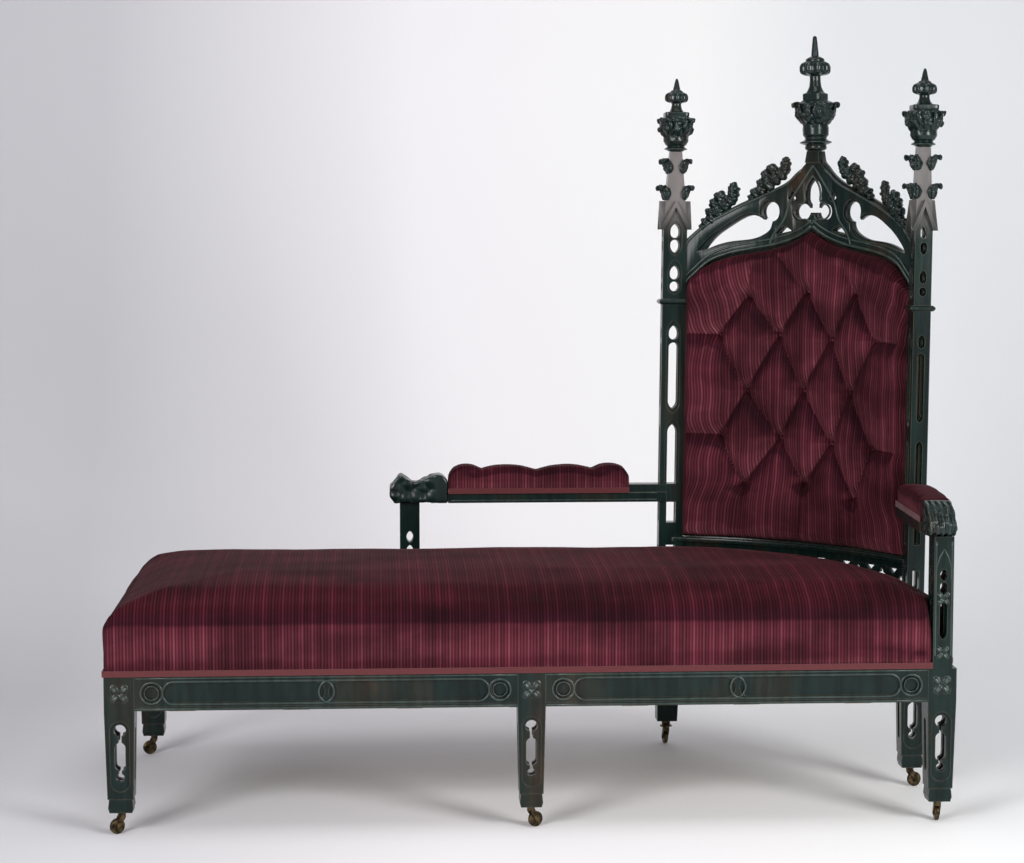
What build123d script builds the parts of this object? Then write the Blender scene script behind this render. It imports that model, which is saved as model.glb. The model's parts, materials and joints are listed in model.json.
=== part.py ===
from build123d import *
import os
from math import asin, atan2, cos, degrees, hypot, radians, sin, sqrt

# A Gothic Revival fainting couch in ebonised wood and velvet, in millimetres, +Z up.
# It is built with the front-left leg's axis on the floor as origin, +X along the front rail
# and +Y to the back, and every piece is moved at the end so that the floor under the middle
# of the couch is the origin.

# ---------------------------------------------------------------- plan
FRONT_SPAN = 1645.0  # front-left leg axis to front-right leg axis
MIDDLE_LEG_X = 817.0
SEAT_DEPTH = 716.0  # front leg axes to back leg axes
LEFT_POST_X = 1181.0  # the tall post that stands on the back rail
RIGHT_POST_Y = 301.0  # the tall post that stands behind the right arm
RIGHT_SPLAY = 10.5  # how far the right side runs outward from front to back
BACK_SAGITTA = 82.4  # how deep the concave back is behind its chord
CHORD_PAST_LEFT = 2.0  # how far right of the left post's foot the chord starts
CHORD_PAST_RIGHT = 5.5  # and how far right of the right post's foot it ends
BACK_RECLINE = 1.05  # degrees that the back leans

# ---------------------------------------------------------------- heights
FOOT_BOTTOM = 45.0
PLAIN_FOOT_BOTTOM = 58.0  # the plain raked leg under the left tall post ends higher
FOOT_HEIGHT = 28.0
RAIL_BOTTOM = 251.0
RAIL_HEIGHT = 69.0
LEFT_ARM_BOTTOM = 575.0
RIGHT_ARM_BOTTOM = 587.0
COLLAR_Z = 1031.0  # moulded band round each tall post
SPIRE_TOP = 1371.0  # where the finials stand
BACK_BOTTOM = 497.0  # lower edge of the back upholstery
LOWER_RAIL_HEIGHT = 29.0
ARCADE_BOTTOM = 438.0
ARCADE_PITCH = 70.0

# ---------------------------------------------------------------- legs and rails
LEFT_LEG_WIDTH = 60.0
MIDDLE_LEG_WIDTH = 56.0
RIGHT_LEG_WIDTH = 58.0
LEG_DEPTH = 56.0
LEG_TAPER = 0.86  # size at the foot over size at the rail
BACK_LEG_RAKE = 32.0
PLAIN_LEG_END = 46.0
RAIL_THICKNESS = 30.0
RAIL_SETBACK = 2.0  # rail face behind leg face
TENON_LENGTH = 24.0
TENON_THICKNESS = 12.0
TENON_SHOULDER = 12.0
PANEL_DEPTH = 5.0
PANEL_HEIGHT = 40.0
PANEL_ROUNDEL_RADIUS = 19.0
PANEL_GAP = 8.0

# ---------------------------------------------------------------- tall posts
POST_WIDTH = 54.0  # the broad face, which looks at the sitter
POST_DEPTH = 37.0
LIGHT_WIDTH = 21.0  # clear width of an opening in the broad face
SIDE_LIGHT_WIDTH = 14.0
LIGHT_SINK = 5.0  # width of the sunk margin round the openings
LIGHT_SINK_DEPTH = 4.0
COLLAR_OVERHANG = 8.0
COLLAR_THICKNESS = 12.0
GABLE_FOOT = 164.0  # above the collar
GABLE_RISE = 65.0
GABLE_OVERHANG = 9.0
GABLE_MOULDING = 9.0  # width of the sloping mouldings
SPIRE_END = 27.0

# ---------------------------------------------------------------- back
BOARD_FRONT = 10.0  # crest wood in front of the back's reference curve
BOARD_BACK = 12.0  # and behind it
CREST_FINIAL_TILT = 2.0  # degrees that the middle finial stands to the left
MOULDING_STEP = 5.0  # how much narrower the raised front moulding is
LOWER_RAIL_PROUD = 8.0  # lower rail in front of the crest's face
STUFFING_DEPTH = 44.0
FABRIC_GAP = 0.4  # soft pieces stand this far off curved wood
CANVAS_THICKNESS = 2.0
STILE_WIDTH = 34.0
BUTTON_RADIUS = 7.0
BUTTON_DEPTH = 5.0
TUFTING_DEPTH = 22.0
TUFTING_SPREAD = 34.0

# ---------------------------------------------------------------- seat
SEAT_OVERHANG = 1.0
SEAT_CROWN_Z = 490.0
SEAT_WELL_MARGIN = 62.0
CANVAS_Z = 392.0
GIMP_HEIGHT = 12.0
GIMP_THICKNESS = 2.0
WEB_WIDTH = 52.0
WEB_THICKNESS = 2.0
WEB_INSET = 17.0  # end of a strap inside the rail's face
WEB_FOLD = 12.0  # length of the end that is folded back
WEB_COLUMNS = 7
WEB_ROWS = 3
SPRING_TURNS = 3
SPRING_SIDES = 6
SPRING_RADIUS = 40.0
SPRING_WAIST = 26.0
SPRING_WIRE = 4.0
NOTCH_GAP = 0.4

# ---------------------------------------------------------------- arms
ARM_SUPPORT_X = 586.0
ARM_SUPPORT_WIDTH = 45.0
LEFT_ARM_WIDTH = 48.0
LEFT_ARM_THICKNESS = 22.0
LEFT_ARM_RISER = 18.0
SCROLL_OVERHANG = 47.0  # scroll in front of the support's axis
SCROLL_LENGTH = 134.0
SCROLL_HEIGHT = 66.0
LEFT_PAD_LENGTH = 414.0
PAD_HEIGHT = 66.0
PAD_WIDTH = 60.0
RIGHT_POST_WIDTH = 40.0
RIGHT_POST_DEPTH = 50.0
RIGHT_ARM_WIDTH = 66.0
RIGHT_ARM_INSET = 6.0
RIGHT_ARM_THICKNESS = 22.0
RIGHT_SCROLL_REACH = 50.0
RIGHT_SCROLL_LENGTH = 78.0
RIGHT_PAD_HEIGHT = 56.0

# ---------------------------------------------------------------- casters
WHEEL_RADIUS = 15.5
WHEEL_WIDTH = 9.0
CASTER_TRAIL = 11.0
AXLE_RADIUS = 2.0
PINTLE_RADIUS = 3.0
RUNNING_FIT = 0.06
PLATE_RADIUS = 14.0
PLATE_THICKNESS = 2.6
SWIVEL_GAP = 0.3
COLLAR_HEIGHT = 8.0
FORK_COLLAR_RADIUS = 7.5
FORK_THICKNESS = 2.2
FORK_WIDTH = 9.0
FORK_SIDE_GAP = 0.5
CASTER_TURN = {  # degrees that each fork points at rest
    "front_left": 215.0,
    "front_middle": 30.0,
    "front_right": 85.0,
    "back_left": 205.0,
    "left_post": 95.0,
    "right_post": 20.0,
}

# ---------------------------------------------------------------- worked out
RAIL_TOP = RAIL_BOTTOM + RAIL_HEIGHT
LEFT_POST = (LEFT_POST_X, SEAT_DEPTH)
RIGHT_POST = (FRONT_SPAN + RIGHT_SPLAY, RIGHT_POST_Y)
CHORD_START = (LEFT_POST[0] + CHORD_PAST_LEFT, LEFT_POST[1])
CHORD_END = (RIGHT_POST[0] + CHORD_PAST_RIGHT, RIGHT_POST[1])
CHORD = (CHORD_END[0] - CHORD_START[0], CHORD_END[1] - CHORD_START[1])
CHORD_LENGTH = hypot(*CHORD)
CHORD_DIRECTION = (CHORD[0] / CHORD_LENGTH, CHORD[1] / CHORD_LENGTH, 0)
BEHIND = (-CHORD_DIRECTION[1], CHORD_DIRECTION[0], 0)
CHORD_MIDDLE = (
    (CHORD_START[0] + CHORD_END[0]) / 2,
    (CHORD_START[1] + CHORD_END[1]) / 2,
)
BACK_RADIUS = (CHORD_LENGTH**2 / 4 + BACK_SAGITTA**2) / (2 * BACK_SAGITTA)
BACK_CENTRE = (
    CHORD_MIDDLE[0] - BEHIND[0] * (BACK_RADIUS - BACK_SAGITTA),
    CHORD_MIDDLE[1] - BEHIND[1] * (BACK_RADIUS - BACK_SAGITTA),
)
BACK_PLANE = Plane(
    origin=(*CHORD_MIDDLE, 0),
    x_dir=CHORD_DIRECTION,
    z_dir=(-BEHIND[0], -BEHIND[1], 0),
)
RECLINE_AXIS = Axis((*CHORD_MIDDLE, RAIL_TOP), CHORD_DIRECTION)
RIGHT_ANGLE = degrees(atan2(RIGHT_SPLAY, RIGHT_POST_Y))
RIGHT_RUN = hypot(RIGHT_SPLAY, RIGHT_POST_Y)
BOARD_FACE = BACK_RADIUS - BOARD_FRONT
BOARD_REAR = BACK_RADIUS + BOARD_BACK
OUTER_CURVE = BACK_RADIUS + LEG_DEPTH / 2 - 4.0  # outer edge of the seat round the corner
HALF_CLEAR = CHORD_LENGTH / 2 - POST_WIDTH / 2  # about where the posts' inner faces are
CREST_REACH = CHORD_LENGTH / 2  # the crest is drawn on to the middle of the posts
TALL = 4000.0
FAR = 400.0


# ---------------------------------------------------------------- plain helpers
def block(x0, x1, y0, y1, z0, z1):
    """A box between two corners."""
    middle = Pos((x0 + x1) / 2, (y0 + y1) / 2, (z0 + z1) / 2)
    return middle * Box(x1 - x0, y1 - y0, z1 - z0)


def polygon(points):
    """A face in (u, v) with straight sides."""
    return make_face(Polyline(*points, close=True))


def facing_front(profile, x=0.0, y=0.0, z=0.0):
    """A (u, v) outline stood up in X and Z."""
    return Plane(origin=(x, y, z), x_dir=(1, 0, 0), z_dir=(0, -1, 0)) * profile


def facing_side(profile, x=0.0, y=0.0, z=0.0):
    """A (u, v) outline stood up in Y and Z."""
    return Plane(origin=(x, y, z), x_dir=(0, 1, 0), z_dir=(1, 0, 0)) * profile


def light(width, low, high, foot="round", head="point"):
    """A Gothic opening: straight sides between ends that are pointed, round or square."""
    half = width / 2
    rise = {"point": 0.87 * width, "round": half, "square": 0.0}
    middle = (low + high) / 2
    low_spring = min(low + rise[foot], middle)
    high_spring = max(high - rise[head], middle)
    edges = end_arcs(half, high_spring, high, head)
    edges += end_arcs(-half, low_spring, low, foot)
    if high_spring - low_spring > 0.01:
        edges.append(Line((half, low_spring), (half, high_spring)))
        edges.append(Line((-half, high_spring), (-half, low_spring)))
    return make_face(edges)


def rectangle_ring(width, depth, z, x=0.0, y=0.0):
    """Four corners at one height."""
    w = width / 2
    d = depth / 2
    return [(x - w, y - d, z), (x + w, y - d, z), (x + w, y + d, z), (x - w, y + d, z)]


def round_ring(radius, z, sides=8):
    """The corners of a regular polygon at one height, with a flat side to the front."""
    turns = [radians(360.0 * (corner + 0.5) / sides) for corner in range(sides)]
    return [(radius * cos(turn), radius * sin(turn), z) for turn in turns]


def stacked(rings):
    """A solid through rings of equally many corners, with flat faces between them."""
    faces = [make_face(Polyline(*ring, close=True)) for ring in (rings[0], rings[-1])]
    for low, high in zip(rings, rings[1:]):
        for corner in range(len(low)):
            after = (corner + 1) % len(low)
            side = Polyline(low[corner], low[after], high[after], high[corner], close=True)
            faces.append(make_face(side))
    return Solid(Shell(faces))


def end_arcs(half, spring, tip, kind):
    """The end of an opening, from u = half over the tip to u = -half."""
    if kind == "square":
        return [Line((half, spring), (-half, spring))]
    if kind == "round":
        return [ThreePointArc((half, spring), (0, tip), (-half, spring))]
    rise = tip - spring
    chord = hypot(half, rise)
    bulge = 0.134 * chord
    side = 1 if rise > 0 else -1
    over = abs(rise) / chord * bulge
    up = side * abs(half) / chord * bulge
    sign = 1 if half > 0 else -1
    first = (half / 2 + sign * over, spring + rise / 2 + up)
    second = (-half / 2 - sign * over, spring + rise / 2 + up)
    return [
        ThreePointArc((half, spring), first, (0, tip)),
        ThreePointArc((0, tip), second, (-half, spring)),
    ]


def recline(shape):
    """Lean a piece of the back."""
    return shape.rotate(RECLINE_AXIS, -BACK_RECLINE)


def on_curve(profile, inner, outer):
    """A (u, v) outline across the back, cut to the curved layer between two radii."""
    prism = extrude(BACK_PLANE * profile, FAR, both=True)
    ring = Cylinder(outer, TALL) - Cylinder(inner, TALL)
    return prism & (Pos(*BACK_CENTRE, 0) * ring)


def joined(first, *others):
    """One shape from several that touch."""
    for other in others:
        first = first + other
    return first


# ---------------------------------------------------------------- legs
def leg_light():
    """Bulb, slot and bulb in one opening, joined by cusped necks."""
    shaft = RAIL_BOTTOM - FOOT_BOTTOM
    top = RAIL_BOTTOM - 0.195 * shaft
    low = FOOT_BOTTOM + 0.345 * shaft
    slot = light(21.0, low + 13.0, top - 24.0, "round", "round")
    neck = Pos(0, (top + low) / 2) * Rectangle(6.0, top - low)
    return slot + neck + Pos(0, top) * Circle(12.0) + Pos(0, low) * Circle(8.5)


def leg_panel():
    """The sunk margin round the leg's opening."""
    shaft = RAIL_BOTTOM - FOOT_BOTTOM
    return light(38.0, FOOT_BOTTOM + 0.21 * shaft, RAIL_BOTTOM - 0.1 * shaft, "round", "round")


def quatrefoil(radius):
    """Four lobes, for the square on each rail block."""
    lobe = Circle(radius)
    spread = radius * 0.95
    return joined(*[Pos(spread * x, spread * y) * lobe for x in (-1, 1) for y in (-1, 1)])


def tapered_shaft(width, depth):
    """Leg below the rails, down to the carved foot."""
    foot_top = FOOT_BOTTOM + FOOT_HEIGHT
    end = rectangle_ring(width * LEG_TAPER, depth * LEG_TAPER, foot_top)
    return stacked([end, rectangle_ring(width, depth, RAIL_BOTTOM)])


def carved_foot(width, depth):
    """Four leaf lobes round a core."""
    wide = width * LEG_TAPER
    deep = depth * LEG_TAPER
    foot_top = FOOT_BOTTOM + FOOT_HEIGHT
    foot = block(-wide / 2 + 3, wide / 2 - 3, -deep / 2 + 3, deep / 2 - 3, FOOT_BOTTOM, foot_top)
    for side in (-1, 1):
        for end in (-1, 1):
            x = side * wide / 4.3
            y = end * deep / 4.3
            base = rectangle_ring(wide * 0.4, deep * 0.4, FOOT_BOTTOM, x, y)
            swell = rectangle_ring(wide * 0.5, deep * 0.5, FOOT_BOTTOM + 10, x, y)
            top = rectangle_ring(wide * 0.44, deep * 0.44, foot_top - 2, x, y)
            foot += stacked([base, swell, top])
    return foot


def pierced_leg(width, depth, height=RAIL_TOP):
    """A carved leg with its rail block, pierced from front to back and from side to side."""
    leg = block(-width / 2, width / 2, -depth / 2, depth / 2, RAIL_BOTTOM, height)
    leg += tapered_shaft(width, depth)
    leg += carved_foot(width, depth)
    leg -= extrude(facing_front(leg_light()), depth, both=True)
    shaft = RAIL_BOTTOM - FOOT_BOTTOM
    side = light(17.0, FOOT_BOTTOM + 0.3 * shaft, RAIL_BOTTOM - 0.18 * shaft, "round", "round")
    leg -= extrude(facing_side(side), width, both=True)
    for face in (-1, 1):
        sunk = facing_front(leg_panel(), y=face * (depth / 2 - PANEL_DEPTH / 2 - 1))
        leg -= extrude(sunk, PANEL_DEPTH / 2 + 1, both=True)
    carved = facing_front(quatrefoil(9.0), y=-depth / 2, z=(RAIL_BOTTOM + RAIL_TOP) / 2)
    return leg - extrude(carved, 3.0, both=True)


def arm_post_lights():
    """Openings of the carved post that carries the right arm, from the top down."""
    top = RIGHT_ARM_BOTTOM
    return (
        light(15.0, top - 90.0, top - 66.0, "point", "point"),
        light(15.0, top - 118.0, top - 93.0, "point", "round"),
        light(15.0, top - 208.0, top - 130.0, "point", "point"),
    )


def front_right_leg(cuts):
    """The front-right leg runs up through the seat and carries the right arm."""
    leg = pierced_leg(RIGHT_LEG_WIDTH, LEG_DEPTH)
    half = RIGHT_POST_WIDTH / 2
    front = -LEG_DEPTH / 2
    post = block(-half, half, front, front + RIGHT_POST_DEPTH, RAIL_TOP, RIGHT_ARM_BOTTOM)
    middle = front + RIGHT_POST_DEPTH / 2
    for opening in arm_post_lights():
        post -= extrude(facing_front(opening, y=middle), RIGHT_POST_DEPTH, both=True)
        post -= extrude(facing_side(opening, y=middle), RIGHT_POST_WIDTH, both=True)
    leg = Pos(FRONT_SPAN, 0, 0) * (leg + post)
    return leg - cuts


# ---------------------------------------------------------------- tall posts
def post_lights():
    """Openings of a tall post: low, high, foot and head, from the collar both ways."""
    arm_top = LEFT_ARM_BOTTOM + LEFT_ARM_THICKNESS + LEFT_ARM_RISER
    back_block = BACK_BOTTOM + LOWER_RAIL_HEIGHT
    return (
        (COLLAR_Z + 145, COLLAR_Z + 177, "round", "point"),
        (COLLAR_Z + 111, COLLAR_Z + 141, "point", "round"),
        (COLLAR_Z + 51, COLLAR_Z + 82, "round", "point"),
        (COLLAR_Z + 24, COLLAR_Z + 46, "round", "round"),
        (COLLAR_Z - 86, COLLAR_Z - 54, "round", "point"),
        (COLLAR_Z - 244, COLLAR_Z - 93, "point", "round"),
        (arm_top, COLLAR_Z - 280, "square", "point"),
        (back_block, LEFT_ARM_BOTTOM - 2, "square", "square"),
        (BACK_BOTTOM - 70, BACK_BOTTOM - 23, "round", "square"),
    )


def post_margins():
    """Sunk margins: one round each opening or pair of openings."""
    arm_top = LEFT_ARM_BOTTOM + LEFT_ARM_THICKNESS + LEFT_ARM_RISER
    return (
        (COLLAR_Z + 104, COLLAR_Z + 184, "point", "point"),
        (COLLAR_Z + 18, COLLAR_Z + 96, "round", "point"),
        (COLLAR_Z - 255, COLLAR_Z - 42, "point", "point"),
        (arm_top + 4, COLLAR_Z - 268, "square", "point"),
    )


def gabled_canopy():
    """Crossed gables that oversail the post on all four sides."""
    low = COLLAR_Z + GABLE_FOOT
    wide = POST_WIDTH / 2 + GABLE_OVERHANG
    deep = POST_DEPTH / 2 + GABLE_OVERHANG
    front = polygon([(-wide, low), (wide, low), (0, low + GABLE_RISE)])
    side = polygon([(-deep, low), (deep, low), (0, low + GABLE_RISE)])
    canopy = extrude(facing_front(front), deep, both=True)
    canopy += extrude(facing_side(side), wide, both=True)
    moulding = GABLE_MOULDING
    apex = low + GABLE_RISE - 1.6 * moulding
    under_front = polygon([(moulding - wide, low), (wide - moulding, low), (0, apex)])
    under_side = polygon([(moulding - deep, low), (deep - moulding, low), (0, apex)])
    hollow = extrude(facing_front(under_front), 2 * deep, both=True)
    hollow += extrude(facing_side(under_side), 2 * wide, both=True)
    return canopy - hollow


def spire():
    """The tapering shaft above the gables."""
    low = COLLAR_Z + GABLE_FOOT + 10.0
    base = rectangle_ring(POST_WIDTH - 1.0, POST_DEPTH - 1.0, low)
    return stacked([base, rectangle_ring(SPIRE_END, SPIRE_END, SPIRE_TOP)])


def upright_post():
    """A tall openwork post with its broad face to the front, from the seat rail up."""
    top = COLLAR_Z + GABLE_FOOT + 12.0
    half_width = POST_WIDTH / 2
    half_depth = POST_DEPTH / 2
    post = block(-half_width, half_width, -half_depth, half_depth, RAIL_TOP - 3.0, top)
    over = COLLAR_OVERHANG
    collar = Box(POST_WIDTH + 2 * over, POST_DEPTH + 2 * over, COLLAR_THICKNESS)
    rims = collar.edges().filter_by(Axis.Z, reverse=True)
    post = joined(post, Pos(0, 0, COLLAR_Z) * chamfer(rims, COLLAR_THICKNESS * 0.35))
    post = joined(post, gabled_canopy(), spire())
    for low, high, foot, head in post_lights():
        broad = light(LIGHT_WIDTH, low, high, foot, head)
        narrow = light(SIDE_LIGHT_WIDTH, low + 2, high - 2, foot, head)
        post -= extrude(facing_front(broad), POST_DEPTH, both=True)
        post -= extrude(facing_side(narrow), POST_WIDTH, both=True)
    for low, high, foot, head in post_margins():
        sunk = light(LIGHT_WIDTH + 2 * LIGHT_SINK, low, high, foot, head)
        for face in (-1, 1):
            surface = facing_front(sunk, y=face * half_depth)
            post -= extrude(surface, LIGHT_SINK_DEPTH, both=True)
    return post


def post_envelope(grow=0.0):
    """The plain outside of a tall post with its collar, used to fit what meets it."""
    height = SPIRE_TOP - RAIL_TOP + 200
    shaft = Box(POST_WIDTH + 2 * grow, POST_DEPTH + 2 * grow, height)
    over = 2 * (COLLAR_OVERHANG + grow)
    collar = Box(POST_WIDTH + over, POST_DEPTH + over, COLLAR_THICKNESS + 2 * grow)
    return Pos(0, 0, (SPIRE_TOP + RAIL_TOP) / 2) * shaft + Pos(0, 0, COLLAR_Z) * collar


def outside_posts(grow=0.0):
    """Everything beyond the inner faces of the tall posts, where no stuffing goes."""
    deep = 2 * FAR
    over = COLLAR_OVERHANG + grow
    shaft = block(-FAR, POST_WIDTH / 2 + grow, -deep, deep, RAIL_TOP, SPIRE_TOP)
    low = COLLAR_Z - COLLAR_THICKNESS / 2 - grow
    high = COLLAR_Z + COLLAR_THICKNESS / 2 + grow
    side = POST_DEPTH / 2 + over
    shaft += block(-FAR, POST_WIDTH / 2 + over, -side, side, low, high)
    return at_left_post(shaft) + at_right_post(mirror(shaft, Plane.YZ))


def rail_block(grow=0.0):
    """The square block of a tall post between the seat rails."""
    size = LEG_DEPTH + 2 * grow
    return Pos(0, 0, (RAIL_BOTTOM + RAIL_TOP) / 2) * Box(size, size, RAIL_HEIGHT)


def at_left_post(shape):
    return recline(Pos(*LEFT_POST, 0) * shape)


def at_right_post(shape):
    return recline(Pos(*RIGHT_POST, 0) * Rot(0, 0, -90) * shape)


def plain_raked_leg():
    """The plain back leg under the left post, raked backward."""
    end = rectangle_ring(PLAIN_LEG_END, PLAIN_LEG_END, PLAIN_FOOT_BOTTOM, y=BACK_LEG_RAKE)
    return stacked([end, rectangle_ring(LEG_DEPTH, LEG_DEPTH, RAIL_BOTTOM)])


def left_back_post(post, cuts):
    """The left tall post runs down through the seat rail as the plain raked leg."""
    lower = Pos(*LEFT_POST, 0) * (rail_block() + plain_raked_leg())
    return at_left_post(post) + lower - cuts


def right_back_post(post):
    """The right tall post runs down as a pierced leg."""
    lower = Pos(*RIGHT_POST, 0) * pierced_leg(LEG_DEPTH, LEG_DEPTH)
    return at_right_post(post) + lower


# ---------------------------------------------------------------- rails
def tenon(x, y, along, length=TENON_LENGTH):
    """A tenon of that length from a rail's shoulder at (x, y), along X or Y."""
    z0 = RAIL_BOTTOM + TENON_SHOULDER
    z1 = RAIL_TOP - TENON_SHOULDER
    half = TENON_THICKNESS / 2
    if along == "x":
        return block(min(x, x + length), max(x, x + length), y - half, y + half, z0, z1)
    return block(x - half, x + half, min(y, y + length), max(y, y + length), z0, z1)


def rail_sinkings(length):
    """Roundel, slot, slot, roundel: the sunk panels along a rail of that length."""
    edge = (RAIL_HEIGHT - PANEL_HEIGHT) / 2
    first = edge + PANEL_ROUNDEL_RADIUS
    slot_start = first + PANEL_ROUNDEL_RADIUS + PANEL_GAP / 2
    slot = length / 2 - slot_start - PANEL_GAP / 2
    shapes = []
    for side in (-1, 1):
        shapes.append(Pos(side * (length / 2 - first), 0) * Circle(PANEL_ROUNDEL_RADIUS))
        middle = side * (slot / 2 + PANEL_GAP / 2)
        shapes.append(Pos(middle, 0) * SlotOverall(slot, PANEL_HEIGHT))
    return shapes


def bead_groove(length, face):
    """The groove that lifts a bead along the rail's lower edge."""
    return block(-length / 2, length / 2, face, face + 2.0, RAIL_BOTTOM + 5.0, RAIL_BOTTOM + 7.5)


def panelled_rail(length):
    """A rail along X with its carved face to the front, in the middle of its length."""
    face = -LEG_DEPTH / 2 + RAIL_SETBACK
    rail = block(-length / 2, length / 2, face, face + RAIL_THICKNESS, RAIL_BOTTOM, RAIL_TOP)
    middle = (RAIL_BOTTOM + RAIL_TOP) / 2 + 1.0
    for shape in rail_sinkings(length):
        rail -= extrude(facing_front(shape, y=face, z=middle), PANEL_DEPTH, both=True)
    return rail - bead_groove(length, face)


def front_rail(start, end):
    """A front rail with a tenon at each end."""
    rail = Pos((start + end) / 2, 0, 0) * panelled_rail(end - start)
    y = -LEG_DEPTH / 2 + RAIL_SETBACK + RAIL_THICKNESS / 2
    return rail + tenon(start, y, "x", -TENON_LENGTH) + tenon(end, y, "x")


def left_end_rail():
    """The panelled rail across the left end."""
    start = LEG_DEPTH / 2
    end = SEAT_DEPTH - LEG_DEPTH / 2
    shift = (LEG_DEPTH - LEFT_LEG_WIDTH) / 2
    rail = Pos(shift, (start + end) / 2, 0) * Rot(0, 0, -90) * panelled_rail(end - start)
    x = -LEFT_LEG_WIDTH / 2 + RAIL_SETBACK + RAIL_THICKNESS / 2
    return rail + tenon(x, start, "y", -TENON_LENGTH) + tenon(x, end, "y")


def back_rail():
    """The plain straight rail behind the seat."""
    start = LEFT_LEG_WIDTH / 2
    end = LEFT_POST_X - LEG_DEPTH / 2
    outer = SEAT_DEPTH + LEG_DEPTH / 2 - RAIL_SETBACK
    rail = block(start, end, outer - RAIL_THICKNESS, outer, RAIL_BOTTOM, RAIL_TOP)
    y = outer - RAIL_THICKNESS / 2
    return rail + tenon(start, y, "x", -TENON_LENGTH) + tenon(end, y, "x")


def corner_rail(blocks):
    """The seat rail that is sawn to the curve of the back."""
    outer = OUTER_CURVE - RAIL_SETBACK
    middle = (RAIL_BOTTOM + RAIL_TOP) / 2
    strip = Pos(0, middle) * Rectangle(CHORD_LENGTH, RAIL_HEIGHT)
    return on_curve(strip, outer - RAIL_THICKNESS, outer) - blocks


def on_right_side(shape):
    """Place a piece that is drawn along Y from the front-right leg's axis."""
    return Pos(FRONT_SPAN, 0, 0) * Rot(0, 0, -RIGHT_ANGLE) * shape


def right_side_rail(blocks):
    """The short splayed rail under the right arm."""
    face = RIGHT_LEG_WIDTH / 2 - RAIL_SETBACK
    rail = block(face - RAIL_THICKNESS, face, 0, RIGHT_RUN, RAIL_BOTTOM, RAIL_TOP)
    middle = (RAIL_BOTTOM + RAIL_TOP) / 2 + 1.0
    slot = SlotOverall(RIGHT_RUN - LEG_DEPTH - 3 * PANEL_GAP, PANEL_HEIGHT)
    sunk = facing_side(slot, x=face, y=RIGHT_RUN / 2, z=middle)
    return on_right_side(rail - extrude(sunk, PANEL_DEPTH, both=True)) - blocks


def corner_blocks(legs):
    """Glued blocks that brace the rails at three corners."""
    reach = 62.0
    inner = RAIL_THICKNESS + RAIL_SETBACK
    low = RAIL_BOTTOM + 14.0
    high = RAIL_TOP - 14.0
    x0 = -LEFT_LEG_WIDTH / 2 + inner
    x1 = FRONT_SPAN + RIGHT_LEG_WIDTH / 2 - inner
    y0 = -LEG_DEPTH / 2 + inner
    y1 = SEAT_DEPTH + LEG_DEPTH / 2 - inner
    corners = ((x0, y0, 1, 1), (x0, y1, 1, -1), (x1, y0, -1, 1))
    solids = []
    for x, y, across, along in corners:
        outline = polygon([(x, y), (x + across * reach, y), (x, y + along * reach)])
        prism = extrude(Pos(0, 0, low) * outline, high - low)
        solids += (prism - legs).solids()
    return solids


# ---------------------------------------------------------------- seat
def seat_outline(front=0.0, side=0.0, back=0.0):
    """The seat's plan, inset by those amounts at the front, the ends and the back."""
    left = -LEFT_LEG_WIDTH / 2 - SEAT_OVERHANG + side
    near = -LEG_DEPTH / 2 - SEAT_OVERHANG + front
    right = FRONT_SPAN + RIGHT_LEG_WIDTH / 2 + SEAT_OVERHANG - side
    far = SEAT_DEPTH + LEG_DEPTH / 2 + SEAT_OVERHANG - back
    radius = OUTER_CURVE - back
    start = atan2(CHORD_END[1] - BACK_CENTRE[1], CHORD_END[0] - BACK_CENTRE[0])
    end = atan2(CHORD_START[1] - BACK_CENTRE[1], CHORD_START[0] - BACK_CENTRE[0])
    corner = [curve_point(radius, start + (end - start) * step / 2) for step in range(3)]
    return make_face(
        [
            Polyline((corner[2]), (LEFT_POST_X - POST_WIDTH / 2, far), (left, far)),
            Polyline((left, far), (left, near), (right, near), corner[0]),
            ThreePointArc(*corner),
        ]
    )


def curve_point(radius, angle):
    """A plan point on a curve about the back's centre."""
    return (BACK_CENTRE[0] + radius * cos(angle), BACK_CENTRE[1] + radius * sin(angle))


def notches(low, high):
    """The room that the seat's upholstery leaves for the posts that pass it."""
    gap = NOTCH_GAP
    lean = 12.0
    half = POST_WIDTH / 2 + gap
    deep = POST_DEPTH / 2 + gap
    left = block(
        LEFT_POST_X - half, LEFT_POST_X + half + 3, SEAT_DEPTH - deep, SEAT_DEPTH + FAR, low, high
    )
    right = block(
        RIGHT_POST[0] - deep, RIGHT_POST[0] + FAR, RIGHT_POST[1] - half,
        RIGHT_POST[1] + half + 3, low, high,
    )
    post_side = FRONT_SPAN - RIGHT_POST_WIDTH / 2 - gap
    post_back = -LEG_DEPTH / 2 + RIGHT_POST_DEPTH + gap
    front = block(post_side, FRONT_SPAN + FAR, -FAR, post_back, low, high)
    arm = ARM_SUPPORT_WIDTH / 2 + gap
    support = block(
        ARM_SUPPORT_X - arm, ARM_SUPPORT_X + arm,
        SEAT_DEPTH + LEG_DEPTH / 2 - RAIL_SETBACK - RAIL_THICKNESS - gap,
        SEAT_DEPTH + FAR, low, high,
    )
    return [left, right, front, support]


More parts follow.
